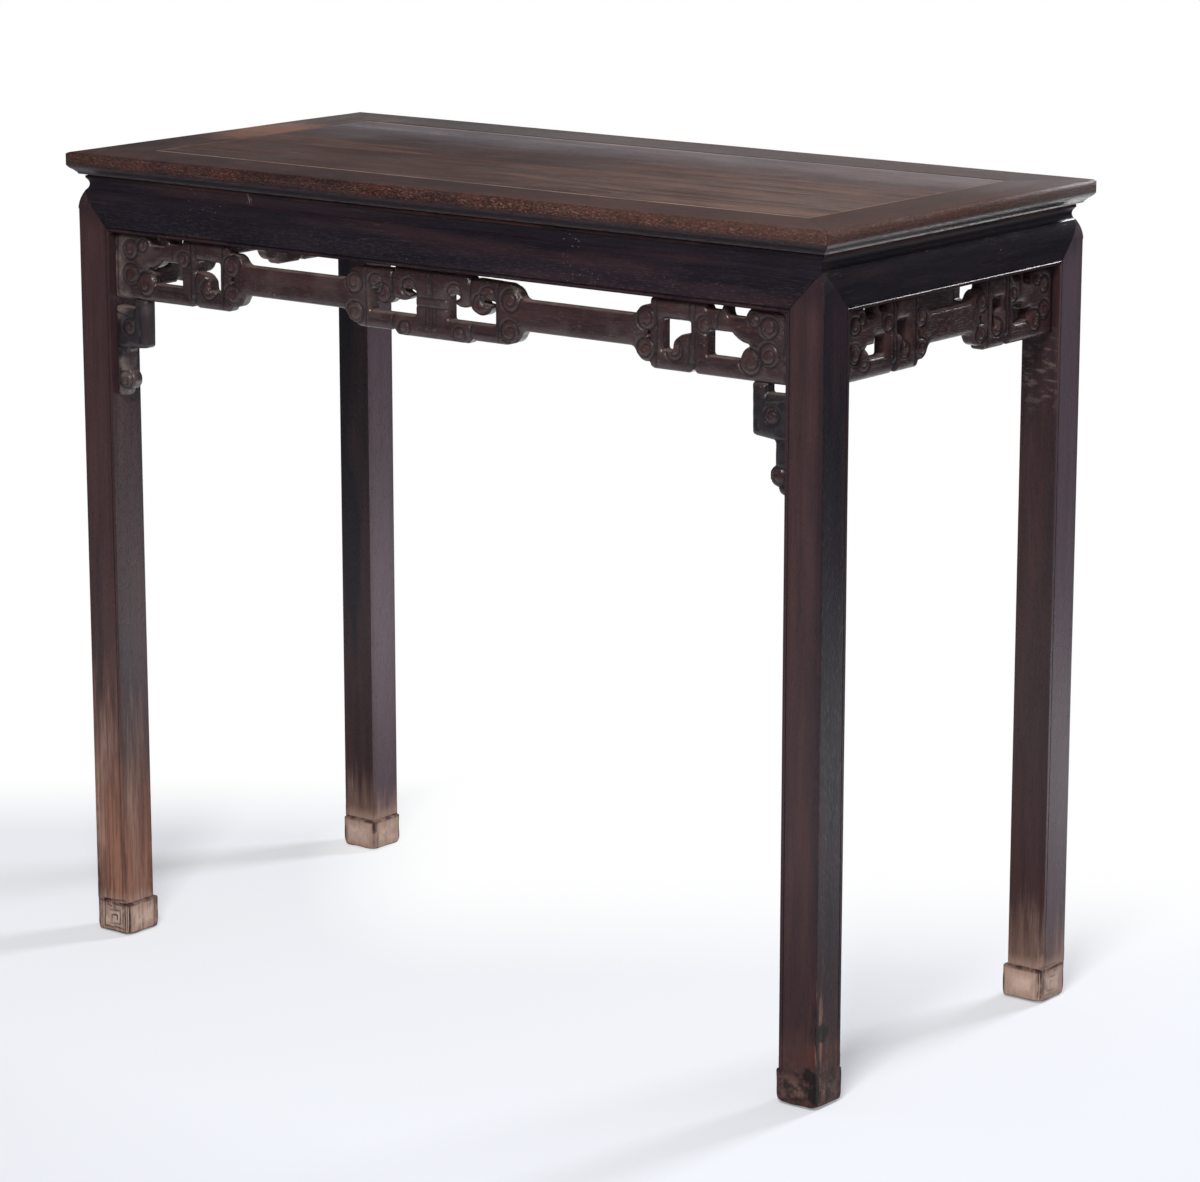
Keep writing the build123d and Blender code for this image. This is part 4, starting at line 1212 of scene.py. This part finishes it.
def carve(piece, side_name, scrolls, grooves, knobs=()):
    """Shapes a carved piece's outer face and records where it is dusty, where it is hollow and
    where it is rubbed; the finish paints the hollows dark as shade and the rubbed parts lighter,
    partly as a highlight.
    """
    sizes = table_sizes()
    side = SIDES[side_name]
    mesh = piece.data
    points = vectors_of(mesh.vertices, "co")
    normals = vectors_of(mesh.vertex_normals, "vector")
    outward = np.array(side.outward)
    along = np.abs(points @ np.array(side.along)) / MM
    height = points[:, 2] / MM
    facing = normals @ outward
    depth = side.depth - FRIEZE_SETBACK - points @ outward
    front = np.clip((facing - 0.3) / 0.5, 0, 1)
    edge = rim_distance(along, height, depth, facing)

    relief, cut, boss = np.zeros((3, len(points)))
    for scroll in scrolls:
        raised, groove, disc = scroll_height(along, height, scroll)
        relief += raised
        cut = np.maximum(cut, groove)
        boss = np.maximum(boss, disc)
    relief -= cut * sizes.groove / MM
    for *line, deep, half in grooves:
        groove = np.exp(-((segment_distance(along, height, line) / half) ** 2))
        relief -= groove * deep * sizes.groove / GROOVE_UNIT
        cut = np.maximum(cut, groove * min(1.0, deep))
    for place_u, place_z, radius in knobs:
        far = np.hypot(along - place_u, height - place_z)
        relief += 0.9 * np.exp(-((far / radius) ** 4))
        cut = np.maximum(cut, np.exp(-(((far - radius - 1) / 0.8) ** 2)) * 0.7)

    width = sizes.pillow_width / MM
    past = np.clip(1 - edge / width, 0, 1)
    roll = 1 - np.sqrt(1 - past**2)
    sag = np.clip(1 - edge / (2.2 * width), 0, 1) ** 2
    drop = roll * (1 - 0.45 * boss) * sizes.pillow / MM + 0.8 * sag
    shallow = np.clip(1 - depth / (8 * MM), 0, 1) * (facing > -0.5)
    uneven = np.array([mottle(Vector(point), 10 * MM, 21) for point in points])
    change = (relief + 0.4 * uneven) * front - drop * shallow
    points += outward * (np.minimum(change, 0.9) * MM)[:, None]
    mesh.vertices.foreach_set("co", points.ravel())

    ledge = np.clip((normals[:, 2] - 0.5) / 0.4, 0, 1)
    # rubbed marks raised discs and rolled edges, painted lighter as rubbed wood and as a highlight;
    # hollow marks the grooves, painted black as shade
    rubbed = np.clip(boss * front + roll * front - cut, 0, 1) * (facing > 0.2)
    for name, values in (("dust_and_sheen", 0.75 * ledge), ("hollow", cut * front), ("rubbed", rubbed)):
        layer = mesh.attributes.new(name, "FLOAT", "POINT")
        layer.data.foreach_set("value", values.astype(np.float32))
    mesh.update()
    mesh.shade_smooth()


def fill_openings(bm, node, fills):
    """Adds blocks of a carved piece's own thickness, on both halves of a short side."""
    low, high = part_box(node)
    middle_x = (low.x + high.x) / 2
    for start_u, start_z, end_u, end_z in fills:
        size = ((high.x - low.x) * 0.99, (end_u - start_u) * MM, (end_z - start_z) * MM)
        for sign in (-1, 1):
            block = bmesh.ops.create_cube(bm, size=1)["verts"]
            bmesh.ops.scale(bm, verts=block, vec=size)
            place = (middle_x, sign * (start_u + end_u) / 2 * MM, (start_z + end_z) / 2 * MM)
            bmesh.ops.translate(bm, verts=block, vec=place)


def carving_blank(node, name, fills=()):
    """A framed piece as an even fine mesh, its edges a little rounded, ready to carve."""
    bm = solid_copy(node)
    fill_openings(bm, node, fills)
    blank = add_object(f"{name}_blank", mesh_of(bm, f"{name}_blank"))
    voxels = blank.modifiers.new("Voxels", "REMESH")
    voxels.mode = "VOXEL"
    voxels.voxel_size = table_sizes().carving_voxel
    graph = bpy.context.evaluated_depsgraph_get()
    fine = bpy.data.meshes.new_from_object(blank.evaluated_get(graph))
    bpy.data.objects.remove(blank)
    bm = bmesh.new()
    bm.from_mesh(fine)
    bmesh.ops.smooth_vert(
        bm, verts=bm.verts, factor=0.5, use_axis_x=True, use_axis_y=True, use_axis_z=True
    )
    bm.to_mesh(fine)
    bm.free()
    fine.name = name
    return fine


def dress_frieze(side, finish):
    """One openwork frieze with its scrolls, grooves and bars."""
    node = f"frieze_{side}"
    name = f"{node}_carved"
    fills = SHORT_FILLS if side in ("left", "right") else ()
    piece = make_piece(carving_blank(node, name, fills), name, node, finish)
    if side in ("front", "back"):
        scrolls = FRET_SCROLLS + CENTRE_SCROLLS
        carve(piece, side, scrolls, FRET_GROOVES + CENTRE_GROOVES, CENTRE_KNOBS)
        return
    scrolls = [
        (to_short(u), z, SHORT_SHARE * radius, *rest) for u, z, radius, *rest in FRET_SCROLLS
    ]
    grooves = [
        (to_short(start_u), start_z, to_short(end_u), end_z, *rest)
        for start_u, start_z, end_u, end_z, *rest in FRET_GROOVES
    ]
    carve(piece, side, scrolls, grooves)


def dress_spandrel(side, finish):
    """One hanging spandrel with its disc and curl."""
    node = f"spandrel_{side}"
    name = f"{node}_carved"
    piece = make_piece(carving_blank(node, name), name, node, finish)
    carve(piece, "front", SPANDREL_SCROLLS, SPANDREL_GROOVES)


# ---- stage ----------------------------------------------------------------------------------
CAMERA_PLACE = (2.608, -3.323, 1.375)
CAMERA_TURN = 37.69               # degrees round the table from its front
CAMERA_DIP = 13.01                # degrees below level
CAMERA_LENS = 126.0               # mm, on a 36 mm wide sensor
WHITE = (1.0, 1.0, 1.0, 1.0)
DARK_ROOM = (0.09, 0.095, 0.11, 1.0)
SKY = (0.88, 0.91, 1.0, 1.0)
SKY_STRENGTH = 0.33
# Painted light: a patch of floor that glows brighter than white to gloss, though it is no lamp
BRIGHT_FLOOR = (0.25, 1.2, 0.0)   # middle of the part of the floor that gloss sees bright
FLOOR_SIZE = 20.0                 # from the middle to each side
FLOOR_DROP = 0.2 * MM             # keeps the floor clear of the feet


def seen_directly(shader):
    """1 where a camera ray, or one through gloss or glass, meets the surface."""
    path = [f"Is {ray} Ray" for ray in ("Camera", "Glossy", "Transmission")]
    node = shader.add("ShaderNodeLightPath")
    camera, glossy, through = (Value(shader, node.outputs[name]) for name in path)
    return camera.most(glossy).most(through)


def as_seen(shader, vector):
    """A place or direction as x to the camera's right, y ahead of it and z up."""
    turned = shader.stretch(vector, (1, 1, 1), (0, 0, math.radians(-CAMERA_TURN)))
    return shader.parts(turned)


def set_world():
    """A soft grey light from all round, seen as white near the horizon and dim overhead."""
    world = bpy.data.worlds.new("Studio")
    bpy.context.scene.world = world
    shader = empty_tree(world)
    way = shader.read("ShaderNodeTexCoord", "Generated")
    glowing = as_seen(shader, way)[1].rise(0.3, 0.8) * shader.parts(way)[2].fade(0.12, 0.45)
    glowing = glowing.most(shader.read("ShaderNodeLightPath", "Is Camera Ray"))
    backdrop = shader.mix(glowing, DARK_ROOM, WHITE)
    light = shader.read("ShaderNodeBackground", 0, {0: SKY, 1: SKY_STRENGTH})
    white = shader.read("ShaderNodeBackground", 0, {0: backdrop, 1: 1.0})
    both = shader.read("ShaderNodeMixShader", 0, {0: seen_directly(shader), 1: light, 2: white})
    shader.add("ShaderNodeOutputWorld", {0: both})


def floor_finish():
    """A pale floor, a little greyer in front of the table, that keeps a soft shadow.

    Gloss sees it glowing brighter than white just behind the table, painted light that is no lamp,
    and dark far away.
    """
    paint = colours()
    material = bpy.data.materials.new("Pale floor")
    shader = empty_tree(material)
    place = shader.read("ShaderNodeTexCoord", "Object")
    right, ahead = as_seen(shader, place)[:2]
    white = shader.mix(ahead.rise(-0.9, 0.2), paint.floor, WHITE)
    away = shader.read("ShaderNodeVectorMath", "Value", {0: place}, operation="LENGTH")
    camera = shader.read("ShaderNodeLightPath", "Is Camera Ray")
    colour = shader.mix(away.fade(1.2, 2.6).most(camera), DARK_ROOM, white)
    # Painted light: the patch behind the table glows up to 2.4 times white to gloss
    glowing = shader.distance(place, BRIGHT_FLOOR).ramp(0.5, 1.0, 2.4, 1.0)
    glowing = (glowing * (1.0 - camera)).most(1.0)
    matt = shader.read("ShaderNodeBsdfDiffuse", 0, {0: paint.floor})
    glow = shader.read("ShaderNodeEmission", 0, {0: colour, 1: glowing})
    # Painted light: under and behind the table the floor glows white over its shadow
    under = ahead.rise(-0.3, 0.35) * right.rise(-0.42, -0.12)
    share = under.most(ahead.rise(0.3, 0.75)).most(away.ramp(0.6, 2.2, 0.32, 1.0))
    share = seen_directly(shader) * share
    both = shader.read("ShaderNodeMixShader", 0, {0: share, 1: matt, 2: glow})
    shader.add("ShaderNodeOutputMaterial", {0: both})
    return material


def add_floor():
    bm = bmesh.new()
    bmesh.ops.create_grid(bm, x_segments=40, y_segments=40, size=FLOOR_SIZE)
    bmesh.ops.translate(bm, verts=bm.verts, vec=(0, 0, -FLOOR_DROP))
    floor = add_object("floor", mesh_of(bm, "floor"))
    floor.data.materials.append(floor_finish())


def add_lamp(name, place, target, size, power, colour):
    """A square soft lamp that points at a target."""
    lamp = bpy.data.lights.new(name, "AREA")
    lamp.shape = "SQUARE"
    lamp.size = size
    lamp.energy = power
    lamp.color = colour
    holder = add_object(name, lamp)
    holder.location = place
    way = Vector(target) - Vector(place)
    holder.rotation_mode = "QUATERNION"
    holder.rotation_quaternion = way.to_track_quat("-Z", "Y")


def add_camera():
    camera = bpy.data.cameras.new("Camera")
    camera.sensor_width = 36.0
    camera.lens = CAMERA_LENS
    camera.clip_end = 100.0
    holder = add_object("Camera", camera)
    holder.location = CAMERA_PLACE
    turn = math.radians(CAMERA_TURN)
    holder.rotation_euler = (math.radians(90 - CAMERA_DIP), 0.0, turn)
    bpy.context.scene.camera = holder


def set_stage():
    """Floor, lamps, world and camera."""
    bpy.context.scene.view_settings.view_transform = "Standard"
    set_world()
    add_floor()
    add_lamp("Front lamp", (1.3, -2.4, 2.6), (0, 0, 0.5), 0.9, 95, (1.0, 0.98, 0.96))
    add_lamp("Back lamp", (0.75, 2.2, 2.1), (0, 0, 0.6), 0.6, 45, (0.95, 0.97, 1.0))
    add_camera()


# ---- operators ------------------------------------------------------------------------------
class ALTAR_OT_frame(bpy.types.Operator):
    """Dress the four members of the top's frame"""

    bl_idname = "altar.frame"
    bl_label = "Top Frame"

    def execute(self, context):
        finishes = {0: frame_finish("x"), 1: frame_finish("y")}
        for side, axis in RAIL_AXES.items():
            dress_rail(side, finishes[axis])
        return {"FINISHED"}


class ALTAR_OT_panel(bpy.types.Operator):
    """Dress the floating panel of the top"""

    bl_idname = "altar.panel"
    bl_label = "Top Panel"

    def execute(self, context):
        dress_panel(panel_finish())
        return {"FINISHED"}


class ALTAR_OT_aprons(bpy.types.Operator):
    """Dress the four aprons and their waists"""

    bl_idname = "altar.aprons"
    bl_label = "Aprons"

    def execute(self, context):
        finishes = {0: apron_finish("x"), 1: apron_finish("y")}
        for side, axis in RAIL_AXES.items():
            dress_apron(side, finishes[axis])
        return {"FINISHED"}


class ALTAR_OT_legs(bpy.types.Operator):
    """Dress the four legs and their hoof feet"""

    bl_idname = "altar.legs"
    bl_label = "Legs"

    def execute(self, context):
        for corner in LEGS:
            dress_leg(corner, leg_finish(corner))
        return {"FINISHED"}


class ALTAR_OT_friezes(bpy.types.Operator):
    """Carve the four openwork friezes"""

    bl_idname = "altar.friezes"
    bl_label = "Friezes"

    def execute(self, context):
        wood = colours().carved
        finishes = {
            0: carved_finish("Carved wood x", "x", wood, 0.5),
            1: carved_finish("Carved wood y", "y", wood, 0.22),
        }
        for side, axis in RAIL_AXES.items():
            dress_frieze(side, finishes[axis])
        return {"FINISHED"}


class ALTAR_OT_spandrels(bpy.types.Operator):
    """Carve the two hanging spandrels of the front legs"""

    bl_idname = "altar.spandrels"
    bl_label = "Spandrels"

    def execute(self, context):
        finish = carved_finish("Spandrel wood", "z", colours().spandrel, 0.45)
        for side in ("left", "right"):
            dress_spandrel(side, finish)
        return {"FINISHED"}


class ALTAR_OT_inner(bpy.types.Operator):
    """Finish the battens and the pins, which keep their framed shape"""

    bl_idname = "altar.inner"
    bl_label = "Battens and Pins"

    def execute(self, context):
        batten = plain_finish("Inner wood", "y", colours().inner)
        pin = plain_finish("Pin wood", "z", colours().frame_worn)
        for name, node in frame["nodes"].items():
            if "batten" in name or "pins" in name:
                for place in node.material_slots:
                    place.material = batten if "batten" in name else pin
        return {"FINISHED"}


class ALTAR_OT_stage(bpy.types.Operator):
    """Set the floor, lamps, world and camera"""

    bl_idname = "altar.stage"
    bl_label = "Stage"

    def execute(self, context):
        set_stage()
        return {"FINISHED"}


OPERATORS = (
    ALTAR_OT_frame,
    ALTAR_OT_panel,
    ALTAR_OT_aprons,
    ALTAR_OT_legs,
    ALTAR_OT_friezes,
    ALTAR_OT_spandrels,
    ALTAR_OT_inner,
    ALTAR_OT_stage,
)


class ALTAR_PT_tools(bpy.types.Panel):
    """Lists the table's pieces, sizes and colours"""

    bl_idname = "ALTAR_PT_tools"
    bl_label = "Altar Table"
    bl_space_type = "VIEW_3D"
    bl_region_type = "UI"
    bl_category = "Altar Table"

    def draw(self, context):
        for operator in OPERATORS:
            self.layout.operator(operator.bl_idname)
        for group in (context.scene.altar_sizes, context.scene.altar_colours):
            box = self.layout.box()
            for name in group.bl_rna.properties.keys():
                if name not in ("rna_type", "name"):
                    box.prop(group, name)


CLASSES = (AltarSizes, AltarColours, *OPERATORS, ALTAR_PT_tools)


def register():
    for one in CLASSES:
        bpy.utils.register_class(one)
    bpy.types.Scene.altar_sizes = bpy.props.PointerProperty(type=AltarSizes)
    bpy.types.Scene.altar_colours = bpy.props.PointerProperty(type=AltarColours)


def unregister():
    del bpy.types.Scene.altar_colours
    del bpy.types.Scene.altar_sizes
    for one in reversed(CLASSES):
        bpy.utils.unregister_class(one)


def main():
    register()
    for operator in OPERATORS:
        section, name = operator.bl_idname.split(".")
        getattr(getattr(bpy.ops, section), name)()


if __name__ == "__main__":
    main()
